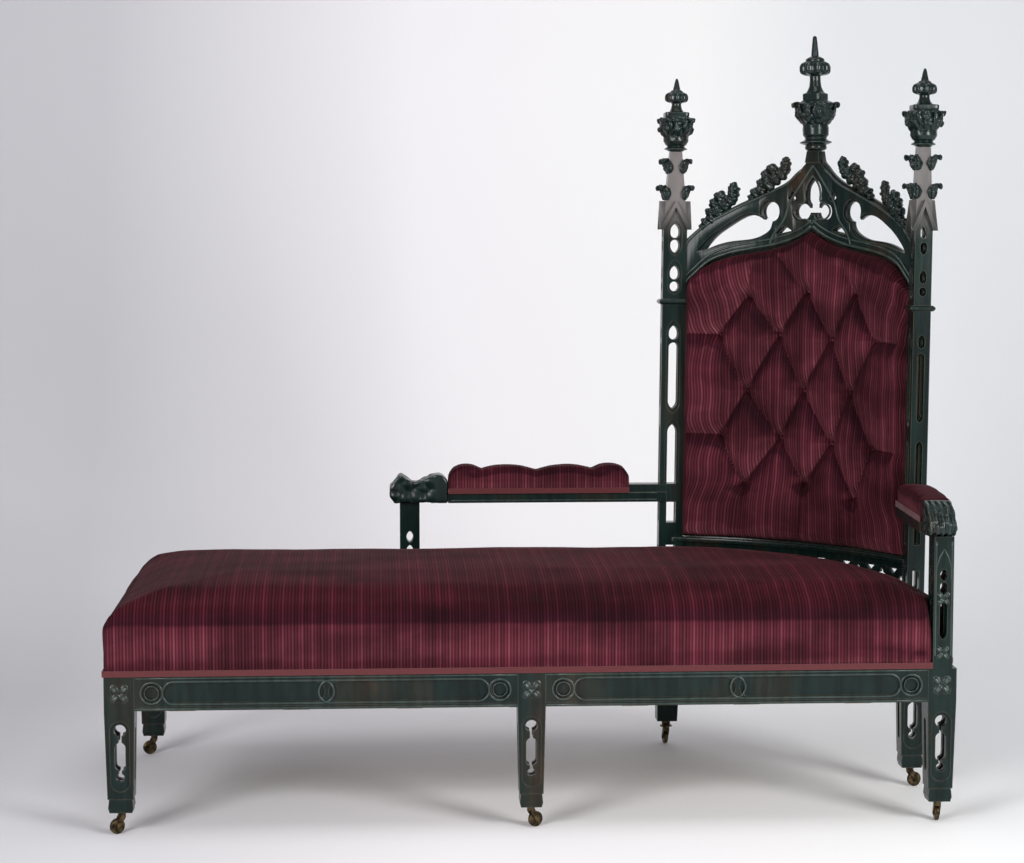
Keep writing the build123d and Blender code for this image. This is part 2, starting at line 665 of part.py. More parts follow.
def seat_upholstery():
    """The stuffed seat: boxed at the front, crowned on top, hollow under its canvas."""
    crown = SEAT_CROWN_Z - RAIL_TOP
    stages = (
        (0.0, 0.0, 0.0, 0.0),
        (0.0, 0.0, 0.0, 0.576),
        (2.0, 6.0, 34.0, 0.682),
        (14.0, 26.0, 70.0, 0.812),
        (80.0, 110.0, 150.0, 0.93),
        (220.0, 250.0, 250.0, 1.0),
    )
    sections = [Pos(0, 0, RAIL_TOP + crown * z) * seat_outline(f, s, b) for f, s, b, z in stages]
    seat = loft(sections, ruled=True)
    margin = SEAT_WELL_MARGIN
    well = Pos(0, 0, RAIL_TOP) * seat_outline(margin, margin, margin)
    seat -= extrude(well, CANVAS_Z + CANVAS_THICKNESS - RAIL_TOP)
    for notch in notches(RAIL_TOP - 1, SEAT_CROWN_Z + 60):
        seat -= notch
    return seat


def seat_gimp():
    """Braid round the seat just above the rails."""
    over = -GIMP_THICKNESS
    ring = seat_outline(over, over, over) - seat_outline()
    gimp = extrude(Pos(0, 0, RAIL_TOP) * ring, GIMP_HEIGHT)
    for notch in notches(RAIL_TOP - 1, RAIL_TOP + 2 * GIMP_HEIGHT):
        gimp -= notch
    return gimp.solids()


def web_lines():
    """Where the webbing straps run: X of the cross straps, Y of the long straps."""
    inner = RAIL_THICKNESS + RAIL_SETBACK
    across = (FRONT_SPAN - 2 * inner) / WEB_COLUMNS
    deep = (SEAT_DEPTH - inner) / WEB_ROWS
    columns = [inner + across * (i + 0.4) for i in range(WEB_COLUMNS)]
    rows = [deep * (j + 0.5) + inner / 4 for j in range(WEB_ROWS)]
    return columns, rows


def long_webbing(legs):
    """Straps along the couch, tacked under the rails."""
    columns, rows = web_lines()
    low = RAIL_BOTTOM - WEB_THICKNESS
    lap = RAIL_SETBACK + WEB_INSET
    bed = extrude(Pos(0, 0, low) * seat_outline(lap, lap, lap), WEB_THICKNESS)
    solids = []
    for y in rows:
        strap = block(-FAR, FRONT_SPAN + FAR, y - WEB_WIDTH / 2, y + WEB_WIDTH / 2, low, RAIL_BOTTOM)
        solids += ((strap & bed) - legs).solids()
    return solids


def cross_webbing(legs, long_straps):
    """Straps across the couch under the long ones, with their ends folded double."""
    columns, rows = web_lines()
    low = RAIL_BOTTOM - 2 * WEB_THICKNESS
    lap = RAIL_SETBACK + WEB_INSET
    fold = lap + WEB_FOLD
    bed = extrude(Pos(0, 0, low) * seat_outline(lap, lap, lap), WEB_THICKNESS)
    rim = seat_outline(lap, lap, lap) - seat_outline(fold, fold, fold)
    folds = extrude(Pos(0, 0, low + WEB_THICKNESS) * rim, WEB_THICKNESS)
    solids = []
    for x in columns:
        strap = block(x - WEB_WIDTH / 2, x + WEB_WIDTH / 2, -FAR, SEAT_DEPTH + FAR, low, RAIL_BOTTOM)
        ends = strap & folds
        for other in long_straps:
            ends -= other
        solids += (((strap & bed) + ends) - legs).solids()
    return solids


def coil_spring():
    """A waisted coil with flat end turns, from z = 0 to the canvas."""
    height = CANVAS_Z - RAIL_BOTTOM
    steps = SPRING_SIDES * (SPRING_TURNS + 2)
    flat = SPRING_SIDES
    sections = []
    for step in range(steps + 1):
        climb = min(max(step - flat, 0), steps - 2 * flat) / (steps - 2 * flat)
        z = SPRING_WIRE / 2 + climb * (height - SPRING_WIRE)
        radius = SPRING_WAIST + (SPRING_RADIUS - SPRING_WAIST) * abs(2 * climb - 1)
        radius -= 2.2 * SPRING_WIRE * (step < flat) * (flat - step) / flat
        radius -= 2.2 * SPRING_WIRE * (step > steps - flat) * (step - steps + flat) / flat
        turn = 360.0 * step / SPRING_SIDES
        plane = Plane(
            origin=(radius * cos(radians(turn)), radius * sin(radians(turn)), z),
            x_dir=(cos(radians(turn)), sin(radians(turn)), 0),
            z_dir=(-sin(radians(turn)), cos(radians(turn)), 0),
        )
        sections.append(plane * Rectangle(SPRING_WIRE, SPRING_WIRE))
    return loft(sections, ruled=True)


def seat_springs():
    """One coil on each crossing of the webbing that lies inside the well."""
    columns, rows = web_lines()
    margin = SEAT_WELL_MARGIN + SPRING_RADIUS + SPRING_WIRE
    room = extrude(seat_outline(margin, margin, margin), RAIL_TOP)
    coil = coil_spring()
    springs = []
    for x in columns:
        for y in rows:
            if room.is_inside((x, y, RAIL_TOP / 2)):
                springs.append(Pos(x, y, RAIL_BOTTOM) * coil)
    return springs


def spring_canvas():
    """The hessian over the springs."""
    margin = SEAT_WELL_MARGIN + 1.0
    return extrude(Pos(0, 0, CANVAS_Z) * seat_outline(margin, margin, margin), CANVAS_THICKNESS)


# ---------------------------------------------------------------- back
def crest_edge():
    """Upper edge of the crest from its middle to the right post."""
    return ((21, SPIRE_TOP), (24, 1352), (42, 1325), (66, 1306), (140, 1273), (188, 1251),
            (240, 1222), (264, 1203), (CREST_REACH, 1142))


def arch_edge():
    """Ogee under the crest, which frames the upholstery, from its point to the right post."""
    return ((0, 1194), (40, 1172), (90, 1156), (150, 1145), (200, 1134), (245, 1113),
            (274, 1084), (CREST_REACH, 1039))


def mirrored(points):
    return [(-u, v) for u, v in points]


def crest_outline(inset=0.0):
    """The whole crest between its two edges."""
    edge = [(u - inset * (u < 30), v - inset) for u, v in crest_edge()]
    arch = [(u, v + inset) for u, v in arch_edge()]
    top = edge[0][1]
    edges = [
        Line((-edge[0][0], top), (edge[0][0], top)),
        Spline(*edge),
        Line(edge[-1], arch[-1]),
        Spline(*arch),
        Spline(*mirrored(arch)),
        Line(mirrored(arch)[-1], mirrored(edge)[-1]),
        Spline(*mirrored(edge)),
    ]
    return make_face(edges)


def mouchette(grow=0.0):
    """The long curved opening beside the trefoil, with a cusped neck and its round head."""
    g = grow
    upper = ((124 - g, 1219), (151, 1229 + g), (199, 1207 + g), (230, 1184 + g), (258 + 2 * g, 1146))
    lower = ((258 + 2 * g, 1146), (230, 1161 - g), (190, 1171 - g), (150, 1176 - g),
             (122 - g, 1187 - g), (107 - g, 1201), (104 - g, 1214))
    blade = make_face([Spline(*upper), Spline(*lower), Line(lower[-1], upper[0])])
    head = Pos(106, 1237) * Ellipse(19 + g, 22 + g)
    neck = Pos(114, 1217) * Rot(0, 0, 14) * Rectangle(20, 8 + g)
    return joined(blade, head, neck)


def trefoil():
    """A pointed lobe over two round ones, with a cusp between them."""
    drop = light(36, 1250, 1310, "round", "point")
    lobes = [Pos(side * 28, 1237) * Circle(18) for side in (-1, 1)]
    throat = Pos(0, 1246) * Rectangle(24, 22)
    cusp = Pos(0, 1224) * Circle(9)
    return joined(drop, throat, *lobes) - cusp


def eyelets():
    """The small openings between the mouldings."""
    upper = polygon([(50, 1282), (60, 1268), (52, 1259), (44, 1266)])
    lower = polygon([(54, 1195), (88, 1188), (72, 1205)])
    return [upper, lower]


def crest_tracery(posts):
    """The pierced crest: a backing board with small openings under a narrower moulding."""
    board = crest_outline()
    face = crest_outline(MOULDING_STEP)
    board -= trefoil()
    face -= offset(trefoil(), MOULDING_STEP, kind=Kind.ARC)
    pairs = [(mouchette(), mouchette(MOULDING_STEP))]
    pairs += [(eyelet, offset(eyelet, MOULDING_STEP / 3, kind=Kind.ARC)) for eyelet in eyelets()]
    for opening, wider in pairs:
        board = board - opening - mirror(opening, Plane.YZ)
        face = face - wider - mirror(wider, Plane.YZ)
    crest = on_curve(board, BACK_RADIUS, BOARD_REAR)
    crest += on_curve(face, BOARD_FACE, BACK_RADIUS)
    boss = extrude(BACK_PLANE * Pos(0, SPIRE_TOP - 13) * Rectangle(40, 26), 19, both=True)
    crest += boss.translate(Vector(*BEHIND) * BACK_SAGITTA)
    return recline(crest) - posts


def crest_crockets(crest, posts):
    """Leaf clusters that climb the shoulders of the crest."""
    lobes = ((-40, 5, 8), (-20, 10, 12), (8, 17, 19), (31, 17, 16), (58, 22, 12))
    places = ((109, 1288, 28), (219, 1227, 38))
    solids = []
    for u, v, slope in places:
        leaf = joined(*[Pos(-along, out) * Circle(radius) for along, out, radius in lobes])
        leaf = Pos(u, v) * Rot(0, 0, -slope) * leaf
        for shape in (leaf, mirror(leaf, Plane.YZ)):
            cluster = recline(on_curve(shape, BOARD_FACE - 1, BOARD_REAR - 3)) - crest - posts
            solids.append(max(cluster.solids(), key=lambda solid: solid.volume))
    return solids


def back_field(gap, low):
    """The upholstered field under the ogee, that far inside the wood."""
    arch = [(u, v - gap) for u, v in arch_edge()]
    wide = CREST_REACH
    return make_face(
        [
            Spline(*arch),
            Spline(*mirrored(arch)),
            Polyline(mirrored(arch)[-1], (-wide, low), (wide, low), arch[-1]),
        ]
    )


def back_upholstery(posts):
    """The stuffing in front of the canvas, drawn in to a diamond hollow at every button."""
    field = back_field(FABRIC_GAP, BACK_BOTTOM)
    pad = on_curve(field, BACK_RADIUS - STUFFING_DEPTH, BACK_RADIUS - FABRIC_GAP)
    for u, z in tufting_places():
        pad -= button_place(u, z) * tufting_hollow()
    return recline(pad) - posts


def back_canvas(posts):
    """The canvas that carries the stuffing."""
    field = back_field(FABRIC_GAP, BACK_BOTTOM)
    sheet = on_curve(field, BACK_RADIUS, BACK_RADIUS + CANVAS_THICKNESS)
    return recline(sheet) - posts


def back_stiles(posts):
    """The two upright boards that the canvas is tacked to."""
    start = BACK_RADIUS + CANVAS_THICKNESS
    solids = []
    for side in (-1, 1):
        middle = side * (HALF_CLEAR - STILE_WIDTH / 2 + 12)
        strip = Pos(middle, (BACK_BOTTOM + 1040) / 2) * Rectangle(STILE_WIDTH + 30, 1040 - BACK_BOTTOM)
        board = recline(on_curve(strip, start, BOARD_REAR)) - posts
        solids.append(max(board.solids(), key=lambda solid: solid.volume))
    return solids


def outside_lining(posts):
    """The cloth-covered panel that closes the back from behind."""
    field = back_field(-MOULDING_STEP, BACK_BOTTOM - 6)
    return recline(on_curve(field, BOARD_REAR, BOARD_REAR + CANVAS_THICKNESS)) - posts


def lower_back_rail(posts):
    """The moulded rail under the back upholstery."""
    middle = BACK_BOTTOM - LOWER_RAIL_HEIGHT / 2
    strip = Pos(0, middle) * Rectangle(CHORD_LENGTH, LOWER_RAIL_HEIGHT)
    bead = Pos(0, middle + LOWER_RAIL_HEIGHT / 6) * Rectangle(CHORD_LENGTH, LOWER_RAIL_HEIGHT / 3)
    rail = on_curve(strip, BOARD_FACE, BOARD_REAR)
    rail += on_curve(bead, BOARD_FACE - LOWER_RAIL_PROUD, BOARD_FACE)
    return recline(rail) - posts


def back_arcade(posts):
    """The small pierced arcade that hangs under the lower rail."""
    top = BACK_BOTTOM - LOWER_RAIL_HEIGHT
    height = top - ARCADE_BOTTOM
    strip = Pos(0, top - height / 2) * Rectangle(CHORD_LENGTH, height)
    reach = int(HALF_CLEAR / ARCADE_PITCH)
    for bay in range(-reach, reach + 1):
        u = bay * ARCADE_PITCH
        strip -= Pos(u, ARCADE_BOTTOM - 6) * Circle(ARCADE_PITCH * 0.3)
        strip -= Pos(u, 0) * light(9.0, ARCADE_BOTTOM - 20, top - 6, "square", "point")
        if bay < reach:
            middle = u + ARCADE_PITCH / 2
            strip -= polygon([(middle - 12, top - 3), (middle + 12, top - 3), (middle, top - 15)])
    hanging = recline(on_curve(strip, BACK_RADIUS - 4, BACK_RADIUS + 6)) - posts
    return max(hanging.solids(), key=lambda solid: solid.volume)


def tufting_places():
    """Button places: u and height, in rows of three and four."""
    heights = (1056.0, 958.0, 838.0, 728.0, 618.0)
    spread_three = (-136.0, 0.0, 136.0)
    spread_four = (-203.0, -66.0, 66.0, 203.0)
    for row, z in enumerate(heights):
        for u in spread_four if row % 2 else spread_three:
            yield u, z


def button_place(u, z):
    """The bottom of a button's hollow, facing the sitter."""
    face = sqrt((BACK_RADIUS - STUFFING_DEPTH) ** 2 - u**2)
    ahead = face - (BACK_RADIUS - BACK_SAGITTA) + TUFTING_DEPTH
    turn = degrees(asin(u / BACK_RADIUS))
    return BACK_PLANE * Pos(u, z, -ahead) * Rot(0, -turn, 0)


def tufting_hollow():
    """A four-sided hollow, wide at the face of the stuffing."""
    turned_square = Rot(0, 0, 45)
    bottom = round_ring(BUTTON_RADIUS * 1.6, 0.0, 4)
    mouth = round_ring(TUFTING_SPREAD * 1.3, TUFTING_DEPTH * 1.3, 4)
    return turned_square * stacked([bottom, mouth])


def tufting_buttons():
    """Covered buttons, drawn deep into the stuffing."""
    button = Pos(0, 0, BUTTON_DEPTH / 2) * Cylinder(BUTTON_RADIUS, BUTTON_DEPTH)
    return [recline(button_place(u, z) * button) for u, z in tufting_places()]


# ---------------------------------------------------------------- finials
def turned(stages, sides=8):
    """A faceted turning from (radius, height) stages."""
    return stacked([round_ring(radius, z, sides) for radius, z in stages])


def crest_finial(crest):
    """Moulded neck, leafy capital, cone, cushion and spike, standing on the crest."""
    stages = (
        (22, 0), (25, 4), (25, 13), (39, 18), (37, 22), (24, 27), (29, 38), (32, 58), (48, 72),
        (53, 86), (49, 106), (33, 113), (33, 127), (20, 128), (13, 152), (12, 167), (28, 170),
        (38, 179), (38, 190), (28, 199), (22, 206), (10, 211), (8, 230), (5.5, 250), (3, 255),
    )
    place = BACK_PLANE * Pos(0, SPIRE_TOP, -BACK_SAGITTA) * Rot(-90, 0, 0)
    return recline(place * Rot(0, -CREST_FINIAL_TILT, 0) * turned(stages)) - crest


def pinnacle_finial():
    """The smaller finial of a tall post."""
    stages = (
        (19, 0), (20, 4), (29, 7), (28, 10), (20, 14), (24, 24), (30, 36), (44, 46), (49, 56),
        (45, 74), (30, 79), (30, 89), (17, 90), (11, 104), (11, 110), (22, 112), (29, 119),
        (29, 129), (22, 137), (9, 139), (5, 156), (2, 166),
    )
    return Pos(0, 0, SPIRE_TOP) * turned(stages)


def pinnacle_crockets(post):
    """Leaf knobs on the four arrises of a spire, in two tiers."""
    knobs = []
    stages = ((6, 0), (12, 8), (13, 19), (9, 26), (12, 31))
    base = COLLAR_Z + GABLE_FOOT + 10.0
    for tier in (COLLAR_Z + 246.0, COLLAR_Z + 306.0):
        share = (tier - base) / (SPIRE_TOP - base)
        x = (POST_WIDTH * (1 - share) + SPIRE_END * share) / 2
        y = (POST_DEPTH * (1 - share) + SPIRE_END * share) / 2
        for side in (-1, 1):
            for end in (-1, 1):
                knob = Pos(side * x, end * y, tier - 15) * turned(stages, 6)
                knobs.append(max((knob - post).solids(), key=lambda solid: solid.volume))
    return knobs


# ---------------------------------------------------------------- left arm
def left_arm_start():
    """Where the arm's scroll ends and its rail begins."""
    return ARM_SUPPORT_X - SCROLL_OVERHANG + SCROLL_LENGTH


def left_arm_rail():
    """The arm rail, with the taller stretch that meets the post."""
    start = left_arm_start()
    end = LEFT_POST_X - POST_WIDTH / 2
    pad_end = start + LEFT_PAD_LENGTH
    half = LEFT_ARM_WIDTH / 2
    top = LEFT_ARM_BOTTOM + LEFT_ARM_THICKNESS
    y = SEAT_DEPTH
    rail = block(start, end + 20, y - half, y + half, LEFT_ARM_BOTTOM, top)
    rail += block(pad_end, end + 20, y - half + 5, y + half - 5, top, top + LEFT_ARM_RISER)
    return rail - at_left_post(post_envelope())


def left_arm_support():
    """The carved post that carries the arm's scroll, standing on the back rail."""
    outer = SEAT_DEPTH + LEG_DEPTH / 2 - RAIL_SETBACK
    inner = outer - RAIL_THICKNESS
    half = ARM_SUPPORT_WIDTH / 2
    post = block(-half, half, inner, outer, RAIL_TOP, LEFT_ARM_BOTTOM)
    for drop in (66.0, 98.0):
        eye = light(15.0, LEFT_ARM_BOTTOM - drop - 26, LEFT_ARM_BOTTOM - drop, "point", "point")
        post -= extrude(facing_front(eye, y=outer), RAIL_THICKNESS * 2, both=True)
    return Pos(ARM_SUPPORT_X, 0, 0) * post


def left_arm_scroll():
    """The carved end of the left arm: two humps and a rolled nose."""
    low = LEFT_ARM_BOTTOM
    high = SCROLL_HEIGHT
    length = SCROLL_LENGTH
    edges = [
        Polyline((length, 0), (10, 0)),
        ThreePointArc((10, 0), (0, high * 0.42), (14, high * 0.8)),
        Spline((14, high * 0.8), (27, high), (54, high * 0.76), (84, high * 0.88), (108, high),
               (length, high * 0.72)),
        Line((length, high * 0.72), (length, 0)),
    ]
    half = LEFT_ARM_WIDTH / 2 + 4
    x = ARM_SUPPORT_X - SCROLL_OVERHANG
    return extrude(facing_front(make_face(edges), x, SEAT_DEPTH, low), half, both=True)


def left_arm_pad():
    """The stuffed pad with its four humps."""
    length = LEFT_PAD_LENGTH - 2 * FABRIC_GAP
    top = PAD_HEIGHT
    shoulder = 10.0
    marks = [shoulder, length * 0.18, length * 0.49, length * 0.8, length - shoulder]
    edges = []
    for start, end in zip(marks, marks[1:]):
        edges.append(ThreePointArc((start, top - 10), ((start + end) / 2, top), (end, top - 10)))
    edges.append(Polyline((length - shoulder, top - 10), (length, top - 26), (length, 0), (0, 0)))
    edges.append(Polyline((0, 0), (0, top - 26), (shoulder, top - 10)))
    low = LEFT_ARM_BOTTOM + LEFT_ARM_THICKNESS
    outline = facing_front(make_face(edges), left_arm_start() + FABRIC_GAP, SEAT_DEPTH, low)
    return extrude(outline, PAD_WIDTH / 2, both=True)


def left_arm_gimp():
    """Braid round the foot of the left pad."""
    length = LEFT_PAD_LENGTH - 2 * FABRIC_GAP
    x = left_arm_start() + FABRIC_GAP
    low = LEFT_ARM_BOTTOM + LEFT_ARM_THICKNESS
    strips = []
    for side in (-1, 1):
        y = SEAT_DEPTH + side * (PAD_WIDTH + GIMP_THICKNESS) / 2
        half = GIMP_THICKNESS / 2
        strips.append(block(x, x + length, y - half, y + half, low, low + GIMP_HEIGHT))
    return strips


# ---------------------------------------------------------------- right arm
def right_arm_rail(posts):
    """The short arm rail from the front post back to the tall post."""
    half = RIGHT_ARM_WIDTH / 2
    low = RIGHT_ARM_BOTTOM
    start = RIGHT_SCROLL_LENGTH - RIGHT_SCROLL_REACH
    rail = block(-half, half, start, RIGHT_RUN, low, low + RIGHT_ARM_THICKNESS)
    rail = on_right_side(Pos(-RIGHT_ARM_INSET, 0, 0) * rail) - posts
    return max(rail.solids(), key=lambda solid: solid.volume)


def right_arm_scroll():
    """The carved leafy end of the right arm."""
    reach = RIGHT_SCROLL_REACH
    end = RIGHT_SCROLL_LENGTH - reach
    top = RIGHT_ARM_THICKNESS + RIGHT_PAD_HEIGHT * 0.82
    edges = [
        Polyline((-reach + 16, 0), (end, 0), (end, top)),
        Spline((end, top), (end - 30, top * 0.93), (-reach + 10, top * 0.6), (-reach, top * 0.3),
               (-reach + 16, 0)),
    ]
    outline = facing_side(make_face(edges), -RIGHT_ARM_INSET, 0, RIGHT_ARM_BOTTOM)
    return on_right_side(extrude(outline, RIGHT_ARM_WIDTH / 2 - 3, both=True))


def right_arm_pad(posts):
    """The stuffed pad of the right arm."""
    start = RIGHT_SCROLL_LENGTH - RIGHT_SCROLL_REACH + FABRIC_GAP
    low = RIGHT_ARM_BOTTOM + RIGHT_ARM_THICKNESS
    top = RIGHT_PAD_HEIGHT
    edges = [
        Polyline((start, top - 10), (start, 0), (RIGHT_RUN, 0), (RIGHT_RUN, top - 12)),
        ThreePointArc((RIGHT_RUN, top - 12), ((start + RIGHT_RUN) / 2, top), (start, top - 10)),
    ]
    outline = facing_side(make_face(edges), -RIGHT_ARM_INSET, 0, low)
    pad = on_right_side(extrude(outline, RIGHT_ARM_WIDTH / 2 - 2, both=True)) - posts
    return max(pad.solids(), key=lambda solid: solid.volume)


def right_arm_gimp(posts):
    """Braid along both sides of the right pad."""
    start = RIGHT_SCROLL_LENGTH - RIGHT_SCROLL_REACH + FABRIC_GAP
    low = RIGHT_ARM_BOTTOM + RIGHT_ARM_THICKNESS
    strips = []
    for side in (-1, 1):
        x = side * (RIGHT_ARM_WIDTH / 2 - 2 + GIMP_THICKNESS / 2) - RIGHT_ARM_INSET
        half = GIMP_THICKNESS / 2
        strip = block(x - half, x + half, start, RIGHT_RUN, low, low + GIMP_HEIGHT)
        strip = on_right_side(strip) - posts
        strips.append(max(strip.solids(), key=lambda solid: solid.volume))
    return strips


# ---------------------------------------------------------------- casters
def caster_places():
    """Each caster's axis and the height of the wood above it."""
    return {
        "front_left": (0.0, 0.0, FOOT_BOTTOM),
        "front_middle": (MIDDLE_LEG_X, 0.0, FOOT_BOTTOM),
        "front_right": (FRONT_SPAN, 0.0, FOOT_BOTTOM),
        "back_left": (0.0, SEAT_DEPTH, FOOT_BOTTOM),
        "left_post": (LEFT_POST_X, SEAT_DEPTH + BACK_LEG_RAKE, PLAIN_FOOT_BOTTOM),
        "right_post": (*RIGHT_POST, FOOT_BOTTOM),
    }


def plate_bottom():
    return FOOT_BOTTOM - PLATE_THICKNESS


def caster_socket(foot):
    """Plate and pintle fixed to the leg; a longer stem reaches the higher plain leg."""
    low = plate_bottom()
    plate = Pos(0, 0, (low + FOOT_BOTTOM) / 2) * Cylinder(PLATE_RADIUS, PLATE_THICKNESS)
    drop = SWIVEL_GAP + COLLAR_HEIGHT
    socket = plate + Pos(0, 0, low - drop / 2) * Cylinder(PINTLE_RADIUS, drop)
    if foot > FOOT_BOTTOM:
        middle = (foot + FOOT_BOTTOM) / 2
        socket += Pos(0, 0, middle) * Cylinder(PLATE_RADIUS * 0.7, foot - FOOT_BOTTOM)
    return socket


def caster_fork():
    """Collar, two horns and the axle between them; it trails along +X."""
    top = plate_bottom() - SWIVEL_GAP
    collar = Pos(0, 0, top - COLLAR_HEIGHT / 2) * Cylinder(FORK_COLLAR_RADIUS, COLLAR_HEIGHT)
    inner = WHEEL_WIDTH / 2 + FORK_SIDE_GAP
    outer = inner + FORK_THICKNESS
    bridge_low = 2 * WHEEL_RADIUS + 1.2
    bridge = block(-FORK_WIDTH / 2, FORK_WIDTH / 2, -outer, outer, bridge_low, top - 3.0)
    horn_outline = polygon(
        [
            (-FORK_WIDTH / 2, top - 3.0), (FORK_WIDTH / 2, top - 3.0),
            (CASTER_TRAIL + FORK_WIDTH / 2, WHEEL_RADIUS + 2), (CASTER_TRAIL + 3, WHEEL_RADIUS - 5),
            (CASTER_TRAIL - 3, WHEEL_RADIUS - 5), (CASTER_TRAIL - 5, WHEEL_RADIUS + 2),
            (-FORK_WIDTH / 2, bridge_low),
        ]
    )
    fork = collar + bridge
    for side in (-1, 1):
        middle = side * (inner + outer) / 2
        fork += extrude(facing_front(horn_outline, y=middle), FORK_THICKNESS / 2, both=True)
    axle = Pos(CASTER_TRAIL, 0, WHEEL_RADIUS) * Rot(90, 0, 0) * Cylinder(AXLE_RADIUS, 2 * outer + 1)
    fork += axle
    hole = Pos(0, 0, top - COLLAR_HEIGHT / 2) * Cylinder(PINTLE_RADIUS + RUNNING_FIT, COLLAR_HEIGHT * 3)
    return fork - hole


def caster_wheel():
    """A plain roller on the fork's axle."""
    wheel = Cylinder(WHEEL_RADIUS, WHEEL_WIDTH)
    wheel = chamfer(wheel.edges().filter_by(GeomType.CIRCLE), 1.2)
    wheel -= Cylinder(AXLE_RADIUS + RUNNING_FIT, WHEEL_WIDTH + 2)
    return Pos(CASTER_TRAIL, 0, WHEEL_RADIUS) * Rot(90, 0, 0) * wheel


# ---------------------------------------------------------------- assembly
def build():
    """Every piece of the couch, by node name."""
    nodes = {}
    post = upright_post()
    fitted = at_left_post(post_envelope()) + at_right_post(post_envelope())
    loose = at_left_post(post_envelope(FABRIC_GAP)) + at_right_post(post_envelope(FABRIC_GAP))
    beyond = outside_posts(FABRIC_GAP)

    left = LEFT_LEG_WIDTH / 2
    middle = MIDDLE_LEG_WIDTH / 2
    right = RIGHT_LEG_WIDTH / 2
    nodes["front_rail_left"] = front_rail(left, MIDDLE_LEG_X - middle)
    nodes["front_rail_right"] = front_rail(MIDDLE_LEG_X + middle, FRONT_SPAN - right)
    nodes["left_end_rail"] = left_end_rail()
    nodes["back_rail"] = back_rail()

    def fitting(shape, *rails):
        for rail in rails:
            shape -= nodes[rail]
        return shape

    left_leg = pierced_leg(LEFT_LEG_WIDTH, LEG_DEPTH)
    middle_leg = Pos(MIDDLE_LEG_X, 0, 0) * pierced_leg(MIDDLE_LEG_WIDTH, LEG_DEPTH)
    back_leg = Pos(0, SEAT_DEPTH, 0) * pierced_leg(LEFT_LEG_WIDTH, LEG_DEPTH)
    nodes["front_left_leg"] = fitting(left_leg, "front_rail_left", "left_end_rail")
    nodes["front_middle_leg"] = fitting(middle_leg, "front_rail_left", "front_rail_right")
    nodes["front_right_leg"] = front_right_leg(nodes["front_rail_right"])
    nodes["back_left_leg"] = fitting(back_leg, "left_end_rail", "back_rail")
    nodes["left_back_post"] = left_back_post(post, nodes["back_rail"])
    nodes["right_back_post"] = right_back_post(post)

    leg_blocks = Pos(FRONT_SPAN, 0, (RAIL_BOTTOM + RAIL_TOP) / 2) * Box(
        RIGHT_LEG_WIDTH, LEG_DEPTH, RAIL_HEIGHT + 200
    )
    post_blocks = Pos(*LEFT_POST, 0) * rail_block() + Pos(*RIGHT_POST, 0) * rail_block()
    nodes["corner_seat_rail"] = corner_rail(post_blocks)
    nodes["right_side_rail"] = right_side_rail(leg_blocks + post_blocks)
    all_legs = leg_blocks + post_blocks
    all_legs += block(-left, left, -LEG_DEPTH / 2, LEG_DEPTH / 2, 0, RAIL_TOP)
    all_legs += block(-left, left, SEAT_DEPTH - LEG_DEPTH / 2, SEAT_DEPTH + LEG_DEPTH / 2, 0, RAIL_TOP)
    x = MIDDLE_LEG_X
    all_legs += block(x - middle, x + middle, -LEG_DEPTH / 2, LEG_DEPTH / 2, 0, RAIL_TOP)
    all_legs += Pos(*LEFT_POST, 0) * plain_raked_leg()
    all_legs += block(
        RIGHT_POST[0] - LEG_DEPTH / 2, RIGHT_POST[0] + LEG_DEPTH / 2,
        RIGHT_POST[1] - LEG_DEPTH / 2, RIGHT_POST[1] + LEG_DEPTH / 2, 0, RAIL_TOP,
    )
    nodes["corner_blocks"] = corner_blocks(all_legs)

    nodes["seat_webbing_long"] = long_webbing(all_legs)
    nodes["seat_webbing_cross"] = cross_webbing(all_legs, nodes["seat_webbing_long"])
    nodes["seat_springs"] = seat_springs()
    nodes["spring_canvas"] = spring_canvas()
    nodes["seat_upholstery"] = seat_upholstery()
    nodes["seat_gimp"] = seat_gimp()

    nodes["crest_tracery"] = crest_tracery(fitted)
    nodes["crest_crockets"] = crest_crockets(nodes["crest_tracery"], fitted)
    nodes["crest_finial"] = crest_finial(nodes["crest_tracery"])
    nodes["lower_back_rail"] = lower_back_rail(fitted)
    nodes["back_arcade"] = back_arcade(fitted)
    nodes["back_stiles"] = back_stiles(fitted)
    nodes["back_canvas"] = back_canvas(fitted)
    nodes["back_upholstery"] = back_upholstery(beyond)
    nodes["outside_back_lining"] = outside_lining(fitted)
    nodes["tufting_buttons"] = tufting_buttons()

    knobs = pinnacle_crockets(post)
    nodes["left_pinnacle_finial"] = at_left_post(pinnacle_finial())
    nodes["right_pinnacle_finial"] = at_right_post(pinnacle_finial())
    nodes["left_pinnacle_crockets"] = [at_left_post(knob) for knob in knobs]
    nodes["right_pinnacle_crockets"] = [at_right_post(knob) for knob in knobs]

    nodes["left_arm_rail"] = left_arm_rail()
    nodes["left_arm_support"] = left_arm_support()
    nodes["left_arm_scroll"] = left_arm_scroll()
    nodes["left_arm_pad"] = left_arm_pad()
    nodes["left_arm_gimp"] = left_arm_gimp()
    nodes["right_arm_rail"] = right_arm_rail(fitted)
    nodes["right_arm_scroll"] = right_arm_scroll()
    nodes["right_arm_pad"] = right_arm_pad(loose)
    nodes["right_arm_gimp"] = right_arm_gimp(loose)

    sockets = []
    fork = caster_fork()
    wheel = caster_wheel()
    for name, (x, y, foot) in caster_places().items():
        place = Pos(x, y, 0) * Rot(0, 0, CASTER_TURN[name])
        sockets.append(Pos(x, y, 0) * caster_socket(foot))
        nodes["caster_fork_" + name] = place * fork
        nodes["caster_wheel_" + name] = place * wheel
    nodes["caster_sockets"] = sockets
    return nodes


def solids_of(piece):
    """The separate solids of a node."""
    if isinstance(piece, list):
        return [solid for item in piece for solid in item.solids()]
    return list(piece.solids())


